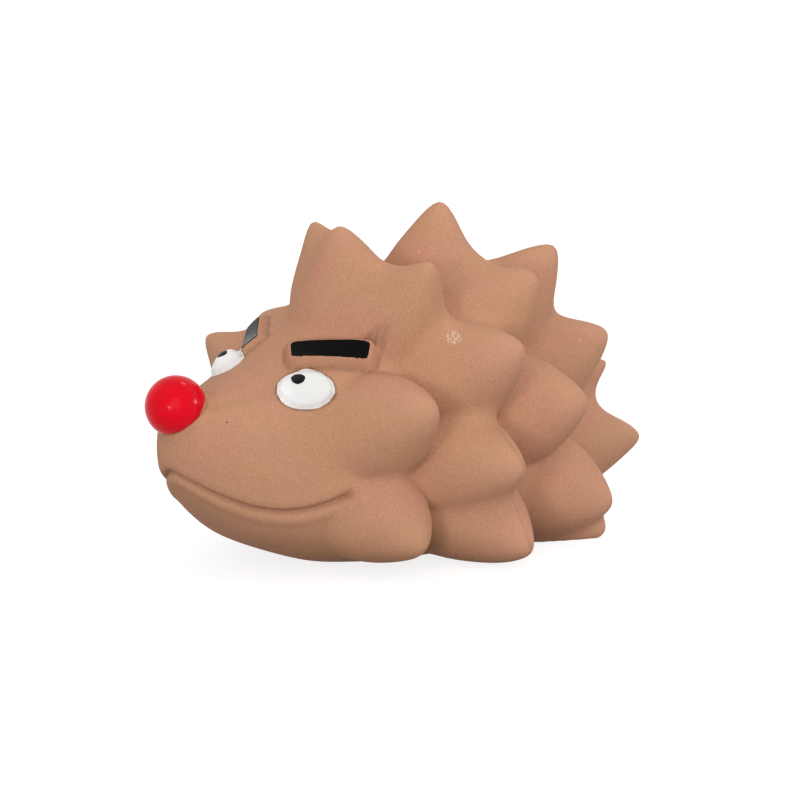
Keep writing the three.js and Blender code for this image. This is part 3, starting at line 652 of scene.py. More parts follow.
def ramp_node(tree, value, low, high, start=0.0, end=1.0):
    """A smooth Map Range from low and high to start and end."""
    node = tree.nodes.new("ShaderNodeMapRange")
    node.interpolation_type = "SMOOTHSTEP"
    link(tree, value, node.inputs["Value"])
    node.inputs["From Min"].default_value = low
    node.inputs["From Max"].default_value = high
    node.inputs["To Min"].default_value = start
    node.inputs["To Max"].default_value = end
    return node.outputs["Result"]


def noise_node(tree, vector, scale, detail=2.0, roughness=0.5):
    """A Noise Texture whose scale is a socket or a number."""
    node = tree.nodes.new("ShaderNodeTexNoise")
    link(tree, vector, node.inputs["Vector"])
    if isinstance(scale, (int, float)):
        node.inputs["Scale"].default_value = scale
    else:
        link(tree, scale, node.inputs["Scale"])
    node.inputs["Detail"].default_value = detail
    node.inputs["Roughness"].default_value = roughness
    return node.outputs["Fac"]


def mix_colour(tree, factor, first, second, blend="MIX"):
    """A colour Mix node whose inputs are sockets or plain colours."""
    node = tree.nodes.new("ShaderNodeMix")
    node.data_type = "RGBA"
    node.blend_type = blend
    sockets = (node.inputs[0], node.inputs[6], node.inputs[7])
    for socket, value in zip(sockets, (factor, first, second)):
        if isinstance(value, (int, float)):
            socket.default_value = value
        elif isinstance(value, tuple):
            socket.default_value = (*value, 1)
        else:
            link(tree, value, socket)
    return node.outputs[2]


def bump_node(tree, height, distance, normal=None, strength=1.0):
    """A Bump node over another, whose height of 1 stands for the distance in metres."""
    node = tree.nodes.new("ShaderNodeBump")
    node.inputs["Strength"].default_value = strength
    node.inputs["Distance"].default_value = distance
    link(tree, height, node.inputs["Height"])
    if normal is not None:
        link(tree, normal, node.inputs["Normal"])
    return node.outputs["Normal"]


def stored(tree, name):
    """The value kept for each vertex under this name."""
    node = tree.nodes.new("ShaderNodeAttribute")
    node.attribute_name = name
    return node.outputs["Fac"]


def object_place(tree):
    """The place on the piece in metres."""
    return tree.nodes.new("ShaderNodeTexCoord").outputs["Object"]


def new_group(name):
    """An empty shader node group with its two end nodes."""
    tree = bpy.data.node_groups.new(name, "ShaderNodeTree")
    return tree, tree.nodes.new("NodeGroupInput"), tree.nodes.new("NodeGroupOutput")


def grain_group():
    """Surface grain: fine noise of the given size, broad noise twelve times as large, and the
    fine one with a finer one over it as a height."""
    tree, start, end = new_group("Surface Grain")
    group_socket(tree, "Size", "INPUT", default=0.0006)
    for name in ("Fine", "Broad", "Height"):
        group_socket(tree, name, "OUTPUT")
    place = object_place(tree)
    scale = math_node(tree, "DIVIDE", 1.0, start.outputs["Size"])
    fine = noise_node(tree, place, scale, 3.0, 0.6)
    broad = noise_node(tree, place, math_node(tree, "DIVIDE", scale, 12.0), 3.0)
    finer = noise_node(tree, place, math_node(tree, "MULTIPLY", scale, 2.3), 1.0)
    both = math_node(tree, "ADD", fine, math_node(tree, "MULTIPLY", finer, 0.5))
    link(tree, fine, end.inputs["Fine"])
    link(tree, broad, end.inputs["Broad"])
    link(tree, both, end.inputs["Height"])
    return tree


def specks_group():
    """Scattered round spots: cells of the given spacing, of which a share holds a spot."""
    tree, start, end = new_group("Scattered Specks")
    group_socket(tree, "Spacing", "INPUT", default=0.003)
    group_socket(tree, "Radius", "INPUT", default=0.1)
    group_socket(tree, "Share", "INPUT", default=0.4)
    group_socket(tree, "Mask", "OUTPUT")
    scale = math_node(tree, "DIVIDE", 1.0, start.outputs["Spacing"])
    cells = tree.nodes.new("ShaderNodeTexVoronoi")
    link(tree, object_place(tree), cells.inputs["Vector"])
    link(tree, scale, cells.inputs["Scale"])
    near = math_node(tree, "DIVIDE", cells.outputs["Distance"], start.outputs["Radius"])
    spot = ramp_node(tree, near, 1.0, 0.6)
    parts = tree.nodes.new("ShaderNodeSeparateColor")
    link(tree, cells.outputs["Color"], parts.inputs[0])
    chosen = math_node(tree, "LESS_THAN", parts.outputs[0], start.outputs["Share"])
    link(tree, math_node(tree, "MULTIPLY", spot, chosen), end.inputs["Mask"])
    return tree


def patch_group():
    """A patch of dried powder: a broken-up pale spot round a place on the piece."""
    tree, start, end = new_group("Powder Patch")
    group_socket(tree, "Place", "INPUT", "NodeSocketVector")
    group_socket(tree, "Radius", "INPUT", default=0.0015)
    group_socket(tree, "Mask", "OUTPUT")
    place = object_place(tree)
    away = tree.nodes.new("ShaderNodeVectorMath")
    away.operation = "DISTANCE"
    link(tree, place, away.inputs[0])
    link(tree, start.outputs["Place"], away.inputs[1])
    near = math_node(tree, "DIVIDE", away.outputs["Value"], start.outputs["Radius"])
    broken = ramp_node(tree, noise_node(tree, place, 2600.0, 1.0), 0.45, 0.62, 0.0, 0.75)
    link(tree, math_node(tree, "MULTIPLY", ramp_node(tree, near, 1.0, 0.5), broken),
         end.inputs["Mask"])
    return tree


def seam_group():
    """Parting seam: a ridge where the piece's own X, less the slope times Z, is at the given
    place. It wavers a little, comes and goes along its length and is rubbed away above."""
    tree, start, end = new_group("Parting Seam")
    group_socket(tree, "Place", "INPUT", default=0.0)
    group_socket(tree, "Slope", "INPUT", default=0.0)
    group_socket(tree, "Top", "INPUT", default=0.026)
    group_socket(tree, "Width", "INPUT", default=0.0004)
    group_socket(tree, "Ridge", "OUTPUT")
    place = object_place(tree)
    split = tree.nodes.new("ShaderNodeSeparateXYZ")
    link(tree, place, split.inputs[0])
    waver = noise_node(tree, place, 60.0, 1.0)
    moved = math_node(tree, "MULTIPLY", math_node(tree, "SUBTRACT", waver, 0.5), 0.0018)
    leaned = math_node(tree, "MULTIPLY", split.outputs["Z"], start.outputs["Slope"])
    along = math_node(tree, "SUBTRACT", math_node(tree, "ADD", split.outputs["X"], moved), leaned)
    away = math_node(tree, "ABSOLUTE", math_node(tree, "SUBTRACT", along, start.outputs["Place"]))
    near = math_node(tree, "DIVIDE", away, start.outputs["Width"])
    ridge = ramp_node(tree, near, 1.0, 0.0)
    fade = ramp_node(tree, noise_node(tree, place, 150.0, 1.0), 0.3, 0.55, 0.35, 1.0)
    rubbed = math_node(tree, "DIVIDE", split.outputs["Z"], start.outputs["Top"])
    kept = math_node(tree, "MULTIPLY", fade, ramp_node(tree, rubbed, 1.0, 0.85))
    link(tree, math_node(tree, "MULTIPLY", ridge, kept), end.inputs["Ridge"])
    return tree


def use_group(tree, name, build, **values):
    """Places a shared group, which is built once, with its own input values."""
    node = tree.nodes.new("ShaderNodeGroup")
    node.node_tree = bpy.data.node_groups.get(name) or build()
    for socket, value in values.items():
        node.inputs[socket.capitalize()].default_value = value
    return node


def new_material(name):
    """A material with its Principled shader."""
    material = bpy.data.materials.new(name)
    material.use_nodes = True
    return material, material.node_tree, material.node_tree.nodes["Principled BSDF"]


# Materials

def latex_material():
    """Matte natural latex: powdery grain, broad blotches, pale powder in the creases, rubbed
    tips, pale specks, pinholes and the mould's parting seam, with painted shade in the mouth
    groove, along the feet of the eyes and brow bars and in the pinholes."""
    looks = bpy.context.scene.hedgehog_colours
    material, tree, shader = new_material("natural latex")
    base = tuple(looks.latex)
    grain = use_group(tree, "Surface Grain", grain_group, size=0.0003)
    coarse = use_group(tree, "Surface Grain", grain_group, size=0.0009)
    ochre = (base[0], base[1] * 1.02, base[2] * 0.94)
    rosy = (base[0] * 1.01, base[1] * 0.95, base[2] * 1.0)
    colour = mix_colour(tree, ramp_node(tree, coarse.outputs["Broad"], 0.35, 0.65), ochre, rosy)
    deep = tuple(channel * 0.8 for channel in base)
    pale = tuple(min(channel * 1.2 + 0.03, 1) for channel in base)
    shade = ramp_node(tree, grain.outputs["Fine"], 0.34, 0.53, 0.42, 0.08)
    colour = mix_colour(tree, shade, colour, deep)
    dusty = ramp_node(tree, grain.outputs["Fine"], 0.47, 0.66, 0.0, 0.42)
    colour = mix_colour(tree, dusty, colour, pale)
    powder = math_node(tree, "MULTIPLY", stored(tree, "crease"),
                       ramp_node(tree, coarse.outputs["Fine"], 0.45, 0.75, 0.0, 0.3))
    colour = mix_colour(tree, powder, colour, pale)
    rubbed = math_node(tree, "MULTIPLY", stored(tree, "tip"),
                       ramp_node(tree, coarse.outputs["Broad"], 0.3, 0.7, 0.1, 0.35))
    colour = mix_colour(tree, rubbed, colour, pale)
    # Painted shade: the latex is darkened along the mouth groove.
    line = math_node(tree, "MULTIPLY", stored(tree, "groove"), 0.4)
    colour = mix_colour(tree, line, colour, tuple(channel * 0.35 for channel in base))
    # Painted shade: the latex is darkened in thin lines along the feet of the eyes and brow bars.
    rim = math_node(tree, "MULTIPLY", stored(tree, "rim"),
                    ramp_node(tree, coarse.outputs["Fine"], 0.3, 0.6, 0.45, 0.85))
    colour = mix_colour(tree, rim, colour, tuple(channel * 0.3 for channel in base))
    dust = use_group(tree, "Scattered Specks", specks_group, spacing=0.0013, radius=0.09,
                     share=0.4)
    gathered = math_node(tree, "MULTIPLY", dust.outputs["Mask"],
                         ramp_node(tree, coarse.outputs["Broad"], 0.4, 0.65, 0.1, 0.6))
    colour = mix_colour(tree, gathered, colour, tuple(looks.powder))
    specks = use_group(tree, "Scattered Specks", specks_group, spacing=0.0035, radius=0.05,
                       share=0.3)
    spot = math_node(tree, "MULTIPLY", specks.outputs["Mask"], 0.7)
    colour = mix_colour(tree, spot, colour, tuple(looks.powder))
    # Painted shade: each pinhole is darkened as well as dented by its bump below.
    pits = use_group(tree, "Scattered Specks", specks_group, spacing=0.0062, radius=0.034,
                     share=0.4)
    colour = mix_colour(tree, pits.outputs["Mask"], colour,
                        tuple(channel * 0.35 for channel in base))
    patch = use_group(tree, "Powder Patch", patch_group, radius=0.0017)
    middle = np.array(POWDER_PLACE) + np.array([SHIFT, 0, 0])
    patch.inputs["Place"].default_value = (middle * MM).tolist()
    colour = mix_colour(tree, patch.outputs["Mask"], colour, tuple(looks.powder))
    link(tree, colour, shader.inputs["Base Color"])
    rough = ramp_node(tree, coarse.outputs["Fine"], 0.3, 0.7, 0.7, 0.82)
    link(tree, rough, shader.inputs["Roughness"])
    shader.inputs["Specular IOR Level"].default_value = 0.2
    normal = bump_node(tree, coarse.outputs["Height"], 0.00005, strength=0.6)
    normal = bump_node(tree, grain.outputs["Height"], 0.00003, normal, 0.8)
    pit = math_node(tree, "SUBTRACT", 1.0, pits.outputs["Mask"])
    normal = bump_node(tree, pit, 0.0001, normal)
    seam = use_group(tree, "Parting Seam", seam_group, place=(SEAM_X + SHIFT) * MM, slope=-0.2,
                     top=0.026, width=0.00042)
    normal = bump_node(tree, seam.outputs["Ridge"], 0.0003, normal)
    link(tree, normal, shader.inputs["Normal"])
    return material


def paint_material(name, colour, roughness, gloss, worn, ripple):
    """Rubber paint with a slightly rippled film and a few burst bubbles: its colour shifts a
    little with thickness, and it thins towards the latex colour along its edge."""
    looks = bpy.context.scene.hedgehog_colours
    material, tree, shader = new_material(name)
    base = tuple(colour)
    grain = use_group(tree, "Surface Grain", grain_group, size=0.0009)
    shade = tuple(channel * 0.82 for channel in base)
    tone = mix_colour(tree, ramp_node(tree, grain.outputs["Broad"], 0.35, 0.65), shade, base)
    edge = math_node(tree, "MULTIPLY", stored(tree, "edge"),
                     ramp_node(tree, grain.outputs["Fine"], 0.45, 0.6, 0.0, worn))
    tone = mix_colour(tree, edge, tone, tuple(looks.latex))
    link(tree, tone, shader.inputs["Base Color"])
    rough = ramp_node(tree, grain.outputs["Fine"], 0.3, 0.7, roughness - 0.05, roughness + 0.1)
    link(tree, rough, shader.inputs["Roughness"])
    shader.inputs["Specular IOR Level"].default_value = gloss
    normal = bump_node(tree, grain.outputs["Broad"], 0.0004, strength=ripple)
    normal = bump_node(tree, grain.outputs["Height"], 0.00003, normal, ripple)
    bubbles = use_group(tree, "Scattered Specks", specks_group, spacing=0.0042, radius=0.09,
                        share=0.3)
    burst = math_node(tree, "SUBTRACT", 1.0, bubbles.outputs["Mask"])
    normal = bump_node(tree, burst, 0.00016, normal)
    link(tree, normal, shader.inputs["Normal"])
    return material


def wadding_material():
    """Polyester wadding: fine pale fibres that cross over each other."""
    looks = bpy.context.scene.hedgehog_colours
    material, tree, shader = new_material("polyester wadding")
    place = object_place(tree)
    bend = noise_node(tree, place, 260.0, 3.0)
    waves = tree.nodes.new("ShaderNodeTexWave")
    link(tree, place, waves.inputs["Vector"])
    waves.inputs["Scale"].default_value = 420.0
    waves.inputs["Distortion"].default_value = 14.0
    waves.inputs["Detail"].default_value = 3.0
    fibre = math_node(tree, "MULTIPLY", waves.outputs["Fac"], bend)
    base = tuple(looks.wadding)
    shade = tuple(channel * 0.7 for channel in base)
    tone = mix_colour(tree, ramp_node(tree, fibre, 0.1, 0.5), shade, base)
    link(tree, tone, shader.inputs["Base Color"])
    shader.inputs["Roughness"].default_value = 0.95
    link(tree, bump_node(tree, fibre, 0.0006), shader.inputs["Normal"])
    return material


def plastic_material(name, colour, roughness, clear):
    """Moulded plastic: faint flow marks, a fine spark-eroded grain and lightly worn gloss."""
    material, tree, shader = new_material(name)
    base = tuple(colour)
    grain = use_group(tree, "Surface Grain", grain_group, size=0.0003)
    shade = tuple(channel * 0.88 for channel in base)
    tone = mix_colour(tree, ramp_node(tree, grain.outputs["Broad"], 0.35, 0.65), shade, base)
    link(tree, tone, shader.inputs["Base Color"])
    rough = ramp_node(tree, grain.outputs["Broad"], 0.3, 0.7, roughness - 0.07, roughness + 0.1)
    link(tree, rough, shader.inputs["Roughness"])
    shader.inputs["Transmission Weight"].default_value = clear
    shader.inputs["IOR"].default_value = 1.5
    link(tree, bump_node(tree, grain.outputs["Height"], 0.00002), shader.inputs["Normal"])
    return material


# Pieces

def shell_grid():
    """Shares and angles of the shell's grid, with closer rings over the face and closer
    columns over the eyes."""
    face = np.arange(1, FACE_RINGS + 1) / FACE_RINGS * FACE_SHARE
    back = FACE_SHARE + np.arange(1, BACK_RINGS) / BACK_RINGS * (1 - FACE_SHARE)
    share = np.concatenate([[FACE_SHARE / FACE_RINGS / 3], face, back,
                            [1 - (1 - FACE_SHARE) / BACK_RINGS / 3]])
    turn = np.arange(COLUMNS) * 2 * np.pi / COLUMNS - np.pi
    angle = 90 + np.degrees(turn - 0.3 * np.sin(turn) + 0.2 * np.sin(2 * turn))
    return np.meshgrid(share, angle, indexing="ij")


def nose_ball():
    """The moulded ball under the nose paint, from pole to pole along X."""
    radius = bpy.context.scene.hedgehog_face.nose_radius / MM - 0.2
    rings, columns = 40, 64
    turn = (np.arange(rings) + 1) / (rings + 1) * np.pi
    turn, around = np.meshgrid(turn, np.arange(columns) * 2 * np.pi / columns, indexing="ij")
    ball = np.stack([-np.cos(turn), np.sin(turn) * np.cos(around),
                     np.sin(turn) * np.sin(around)], -1).reshape(-1, 3)
    points = np.concatenate([ball, [[-1, 0, 0], [1, 0, 0]]]) * radius + nose_centre()
    quads, triangles = grid_faces(rings, columns)
    return points, quads, triangles


def turned_form(profile):
    """A closed form turned round the squeaker's upright axis from radii and heights."""
    columns = 160
    turn = np.arange(columns) * 2 * np.pi / columns
    rings = [np.stack([radius * np.cos(turn) + SQUEAKER_X, radius * np.sin(turn),
                       np.full(columns, height)], -1) for radius, height in profile]
    ends = np.array([[SQUEAKER_X, 0, height] for _, height in (profile[0], profile[-1])])
    return np.concatenate([*rings, ends]), *grid_faces(len(profile), columns)


def cavity_form():
    """The inside of the wall: the core drawn in by the wall, and flat over the belly lip."""
    wall = bpy.context.scene.hedgehog_shell.wall / MM
    rings, columns = 60, 72
    place = np.arange(1, rings + 1) / (rings + 1)
    share = (1 - np.cos(np.pi * place)) / 4 + place / 2
    share, angle = np.meshgrid(share, np.arange(columns) * 360 / columns, indexing="ij")
    _, _, normal = surface_frame(core_points, share, angle)
    points = core_points(share, angle) - normal * wall
    away = np.hypot(points[..., 0] - SQUEAKER_X, points[..., 1])
    floor = wall + (LIP_TOP - wall) * smooth((LIP_RADIUS + LIP_SLOPE - away) / LIP_SLOPE)
    points[..., 2] = np.maximum(points[..., 2], floor)
    ends = np.stack([points[0].mean(0), points[-1].mean(0)])
    return np.concatenate([points.reshape(-1, 3), ends]), *grid_faces(rings, columns)


def combined(mesh, steps):
    """The mesh after closed forms are joined to it or cut from it, one boolean after another."""
    collection = bpy.context.scene.collection
    blank = bpy.data.objects.new("blank", mesh)
    collection.objects.link(blank)
    tools = []
    for way, (points, quads, triangles) in steps:
        quads, triangles = facing_out(points - points.mean(0), quads, triangles)
        form = mesh_from("form", points, quads, triangles)
        tool = bpy.data.objects.new("form", form)
        collection.objects.link(tool)
        step = blank.modifiers.new("step", "BOOLEAN")
        step.operation, step.solver, step.object = way, "MANIFOLD", tool
        tools.append(tool)
    ready = blank.evaluated_get(bpy.context.evaluated_depsgraph_get())
    result = bpy.data.meshes.new_from_object(ready)
    spent = [thing.data for thing in (blank, *tools)]
    for thing in (blank, *tools):
        bpy.data.objects.remove(thing)
    for form in spent:
        bpy.data.meshes.remove(form)
    result.materials.clear()
    result.polygons.foreach_set("material_index", np.zeros(len(result.polygons), np.int32))
    result.polygons.foreach_set("use_smooth", np.ones(len(result.polygons), bool))
    result.set_sharp_from_angle(angle=np.radians(55))
    return result


class HedgehogShell(bpy.types.PropertyGroup):
    """Sizes of the latex shell."""

    length: FloatProperty(name="Length", description="Length of the shell's core",
                          default=0.0842, unit="LENGTH", subtype="DISTANCE")
    half_width: FloatProperty(name="Half Width", description="Half of the core's width",
                              default=0.0223, unit="LENGTH", subtype="DISTANCE")
    height: FloatProperty(name="Height", description="Height of the core",
                          default=0.046, unit="LENGTH", subtype="DISTANCE")
    spine_height: FloatProperty(name="Spine Height", description="Height of a plain spine",
                                default=0.012, unit="LENGTH", subtype="DISTANCE")
    spine_spread: FloatProperty(name="Spine Spread", description="Radius of a spine's foot",
                                default=0.0138, unit="LENGTH", subtype="DISTANCE")
    unevenness: FloatProperty(name="Unevenness", description="Depth of the slow unevenness",
                              default=0.00028, unit="LENGTH", subtype="DISTANCE")
    wall: FloatProperty(name="Wall", description="Thickness of the latex wall",
                        default=0.0022, unit="LENGTH", subtype="DISTANCE")


class HedgehogFace(bpy.types.PropertyGroup):
    """Sizes of the face."""

    nose_radius: FloatProperty(name="Nose Radius", description="Radius of the painted nose",
                               default=0.0053, unit="LENGTH", subtype="DISTANCE")
    eye_rim: FloatProperty(name="Eye Rim", description="Height of the eye's edge",
                           default=0.0003, unit="LENGTH", subtype="DISTANCE")
    eye_rise: FloatProperty(name="Eye Rise", description="Height of the eye's dome",
                            default=0.00125, unit="LENGTH", subtype="DISTANCE")
    brow_rise: FloatProperty(name="Brow Rise", description="Height of the brow bar",
                             default=0.0014, unit="LENGTH", subtype="DISTANCE")
    bridge_dip: FloatProperty(name="Bridge Dip", description="Depth of the flat bridge",
                              default=0.00145, unit="LENGTH", subtype="DISTANCE")
    paint: FloatProperty(name="Paint", description="Thickness of a coat of paint",
                         default=0.00014, unit="LENGTH", subtype="DISTANCE")
    mouth_width: FloatProperty(name="Mouth Width", description="Width of the mouth's groove",
                               default=0.001, unit="LENGTH", subtype="DISTANCE")
    mouth_depth: FloatProperty(name="Mouth Depth", description="Depth of the mouth's groove",
                               default=0.0008, unit="LENGTH", subtype="DISTANCE")


class HedgehogColours(bpy.types.PropertyGroup):
    """Colours of the toy."""

    latex: FloatVectorProperty(name="Latex", description="Colour of the latex", size=3,
                               default=tint(192, 141, 111), min=0, max=1, subtype="COLOR")
    powder: FloatVectorProperty(name="Powder", description="Colour of the powder specks", size=3,
                                default=tint(232, 205, 187), min=0, max=1, subtype="COLOR")
    nose: FloatVectorProperty(name="Nose Paint", description="Colour of the nose", size=3,
                              default=tint(236, 3, 32), min=0, max=1, subtype="COLOR")
    white: FloatVectorProperty(name="Eye Paint", description="Colour of the eyes", size=3,
                               default=tint(250, 250, 248), min=0, max=1, subtype="COLOR")
    black: FloatVectorProperty(name="Brow Paint", description="Colour of brows and pupils",
                               size=3, default=tint(9, 9, 10), min=0, max=1, subtype="COLOR")
    plastic: FloatVectorProperty(name="Squeaker", description="Colour of the squeaker", size=3,
                                 default=tint(233, 232, 226), min=0, max=1, subtype="COLOR")
    film: FloatVectorProperty(name="Reed", description="Colour of the reed film", size=3,
                              default=tint(217, 221, 224), min=0, max=1, subtype="COLOR")
    wadding: FloatVectorProperty(name="Wadding", description="Colour of the wadding", size=3,
                                 default=tint(240, 239, 233), min=0, max=1, subtype="COLOR")


class HedgehogStage(bpy.types.PropertyGroup):
    """Light, floor and camera."""

    top: FloatProperty(name="Top Light", description="Strength of the light from above",
                       default=0.32, min=0)
    front: FloatProperty(name="Front Light", description="Strength of the light before the nose",
                         default=0.66, min=0)
    side: FloatProperty(name="Side Light", description="Strength of the light from the right",
                        default=0.68, min=0)
    fill: FloatProperty(name="Fill Light", description="Strength of the light from the camera",
                        default=0.7, min=0)
    sky: FloatProperty(name="Sky Light", description="Strength of the even light all round",
                       default=0.68, min=0)
    floor_glow: FloatProperty(name="Floor Glow", description="Brightness added to the floor "
                              "where it is seen", default=0.82, min=0)


class HEDGEHOG_OT_shell(bpy.types.Operator):
    """Make the latex shell with its spines, bosses, nose ball and mouth"""

    bl_idname = "hedgehog.make_shell"
    bl_label = "Latex Shell"

    def execute(self, context):
        share, angle = shell_grid()
        points, _, groove = shell_points(share, angle)
        crease, tip = crease_and_tip(share, angle)
        # crease and tip carry the pale powder and the rubbed tips; groove and rim carry painted
        # shade.
        masks = {"crease": crease, "tip": tip, "groove": groove, "rim": painted_shade_lines(share, angle)}
        poles, _, _ = shell_points(np.array([0.0, 1.0]), np.array([0.0, 0.0]))
        rows = np.concatenate([points.reshape(-1, 3), poles])
        quads, triangles = facing_out(rows - rows.mean(0), *grid_faces(*share.shape))
        mesh = mesh_from("latex_shell", rows, quads, triangles)
        for name, values in masks.items():
            store(mesh, name, np.concatenate([values.ravel(), [0, 0]]))
        mesh = combined(mesh, [
            ("UNION", nose_ball()),
            ("DIFFERENCE", cavity_form()),
            ("DIFFERENCE", turned_form(OPENING)),
        ])
        add_piece("latex_shell", mesh, latex_material(), ["latex_body"])
        return {"FINISHED"}


def nose_surface(reach, turn):
    """Points and normals of the painted part of the nose ball, with a wavering border."""
    radius = bpy.context.scene.hedgehog_face.nose_radius / MM
    border = NOSE_SWEEP + 1.6 * np.sin(3 * turn + 0.6) + 1.0 * np.sin(7 * turn) \
        + 0.5 * np.sin(16 * turn + 1.0)
    sweep = np.radians(border) * reach
    pole = np.radians(NOSE_TILT)
    forward = np.array([-np.cos(pole), 0, np.sin(pole)])
    upward = np.array([np.sin(pole), 0, np.cos(pole)])
    across = np.array([0, 1, 0])
    out = np.cos(sweep)[..., None] * forward + np.sin(sweep)[..., None] * (
        np.cos(turn)[..., None] * upward + np.sin(turn)[..., None] * across)
    film = bpy.context.scene.hedgehog_face.paint / MM
    return nose_centre() + out * (radius - film), out


def store_edge(mesh, rings, columns):
    """Keeps how near each vertex of a coat lies to its rim."""
    reach = np.concatenate([np.linspace(0, 0.97, rings)[1:], [1, 1, 1, 1, 1, 1]])
    values = np.repeat(smooth((reach - 0.8) / 0.2), columns)
    store(mesh, "edge", np.concatenate([values, [0, 0]]))


def add_coat(name, surface, rings, columns, material, nodes, thickness=None):
    """Makes one coat of paint as its own piece."""
    film = thickness or bpy.context.scene.hedgehog_face.paint / MM
    points, quads, triangles = skin_mesh(surface, rings, columns, film, COAT_SUNK)
    quads, triangles = facing_out(points - points.mean(0), quads, triangles)
    mesh = mesh_from(name, points, quads, triangles)
    store_edge(mesh, rings, columns)
    return add_piece(name, mesh, material, nodes)


class HEDGEHOG_OT_nose(bpy.types.Operator):
    """Make the glossy paint on the nose"""

    bl_idname = "hedgehog.make_nose"
    bl_label = "Nose Paint"

    def execute(self, context):
        looks = context.scene.hedgehog_colours
        material = paint_material("red rubber paint", looks.nose, roughness=0.12,
                                  gloss=0.09, worn=0.0, ripple=0.3)
        add_coat("nose_coat", nose_surface, 40, 96, material, ["nose_paint"])
        return {"FINISHED"}


def rounded(reach, turn, power):
    """Places at a reach and a turn in a superellipse: each of the circle's own coordinates is
    raised to 2 over the power, with its sign kept."""
    circle = np.cos(turn), np.sin(turn)
    return (reach * np.sign(part) * np.abs(part) ** (2 / power) for part in circle)


def eye_spot(side, across, high):
    """Points and normals of the shell at places on an eye's patch, with the eye's taper."""
    high = high * (1 - EYE_TAPER[side] * across)
    points, normal, _ = shell_points(*patch_spot(EYES[side], across, high, side))
    return points, normal


def eye_surface(side):
    """The eye's white: the boss's own outline, a hair wider and wavering along its edge."""
    def surface(reach, turn):
        waver = 1.015 + 0.012 * np.sin(5 * turn + 0.4) + 0.008 * np.sin(11 * turn + 2.0)
        return eye_spot(side, *rounded(reach * waver, turn, EYE_POWER))
    return surface


def pupil_surface(side):
    """The pupil: an uneven round dab on the eye's white."""
    def surface(reach, turn):
        waver = 1.0 + 0.05 * np.sin(2 * turn + 1.2) + 0.045 * np.sin(3 * turn + 0.3) \
            + 0.02 * np.sin(7 * turn)
        across = PUPILS[side][0] + PUPIL_REACH[0] * reach * waver * np.cos(turn)
        high = PUPILS[side][1] + PUPIL_REACH[1] * reach * waver * np.sin(turn)
        points, normal = eye_spot(side, across, high)
        film = bpy.context.scene.hedgehog_face.paint / MM
        return points + normal * film, normal
    return surface


class HEDGEHOG_OT_eyes(bpy.types.Operator):
    """Make the white of both eyes and their pupils"""

    bl_idname = "hedgehog.make_eyes"
    bl_label = "Eye and Pupil Paint"

    def execute(self, context):
        looks = context.scene.hedgehog_colours
        white = paint_material("white rubber paint", looks.white, roughness=0.42,
                               gloss=0.3, worn=0.25, ripple=0.25)
        black = paint_material("black rubber paint", looks.black, roughness=0.25,
                               gloss=0.08, worn=0.0, ripple=0.3)
        for side, word in ((1, "left"), (-1, "right")):
            add_coat(f"eye_coat_{word}", eye_surface(side), 22, 120, white,
                     [f"eye_paint_{word}"])
            add_coat(f"pupil_coat_{word}", pupil_surface(side), 10, 60, black,
                     [f"pupil_paint_{word}"], PUPIL_FILM)
        return {"FINISHED"}


def brow_surface(side):
    """The paint on top of the brow bar: a rounded bar a little inside the moulded one."""
    def surface(reach, turn):
        waver = 0.98 + 0.006 * np.sin(6 * turn) + 0.005 * np.sin(13 * turn + 1.0)
        across, high = rounded(reach * waver, turn, BROW_POWER)
        high = high * (1 + 0.04 * np.sin(23 * turn) * (np.sin(turn) < 0))
        high = high - BROW_SAG / BROW_HALF[1] * (1 - across**2)
        high = high * (1 + BROW_TAPER * (BROW_PLAIN - across))
        points, normal, _ = shell_points(*patch_spot(BROWS[side], across, high, side))
        return points, normal
    return surface


class HEDGEHOG_OT_brows(bpy.types.Operator):
    """Make the paint on both brow bars"""

    bl_idname = "hedgehog.make_brows"
    bl_label = "Brow Paint"

    def execute(self, context):
        looks = context.scene.hedgehog_colours
        black = paint_material("black brow paint", looks.black, roughness=0.22,
                               gloss=0.05, worn=0.0, ripple=0.35)
        for side, word in ((1, "left"), (-1, "right")):
            add_coat(f"brow_coat_{word}", brow_surface(side), 20, 140, black,
                     [f"brow_paint_{word}"])
        return {"FINISHED"}


def wadding_points(share, angle):
    """The inside of the shell: the core drawn in by the wall and a gap that swells and pinches
    a little, and lifted clear of the lip and the squeaker cup over the belly hole."""
    sizes = bpy.context.scene.hedgehog_shell
    points = core_points(share, angle)
    _, _, normal = surface_frame(core_points, share, angle)
    soft = 0.5 + 0.5 * lumps(points * 2.1)
    gap = sizes.wall / MM + WADDING_GAP + WADDING_SWELL * soft
    points = points - normal * gap[..., None]
    away = np.hypot(points[..., 0] - SQUEAKER_X, points[..., 1])
    near, lip = OVER_SQUEAKER, OVER_LIP
    clear = (near["height"] - lip["height"]) * smooth((near["radius"] - away) / near["slope"])
    clear = lip["height"] + clear - WADDING_FLOOR
    clear = WADDING_FLOOR + clear * smooth((lip["radius"] - away) / lip["slope"])
    points[..., 2] = np.maximum(points[..., 2], clear)
    return points


class HEDGEHOG_OT_wadding(bpy.types.Operator):
    """Make the wadding inside the shell"""

    bl_idname = "hedgehog.make_wadding"
    bl_label = "Wadding"

    def execute(self, context):
        rings, columns = 90, 120
        place = (np.arange(rings) + 1) / (rings + 1)
        share = (1 - np.cos(np.pi * place)) / 4 + place / 2
        share = 0.03 + share * 0.94
        angle = np.arange(columns) * 360 / columns
        share, angle = np.meshgrid(share, angle, indexing="ij")
        points = wadding_points(share, angle)
        ends = np.stack([points[0].mean(0), points[-1].mean(0)])
        rows = np.concatenate([points.reshape(-1, 3), ends])
        quads, triangles = facing_out(rows, *grid_faces(rings, columns))
        mesh = mesh_from("wadding", rows, quads, triangles)
        piece = add_piece("wadding", mesh, wadding_material(), ["fibre_fill"])
        return {"FINISHED"}


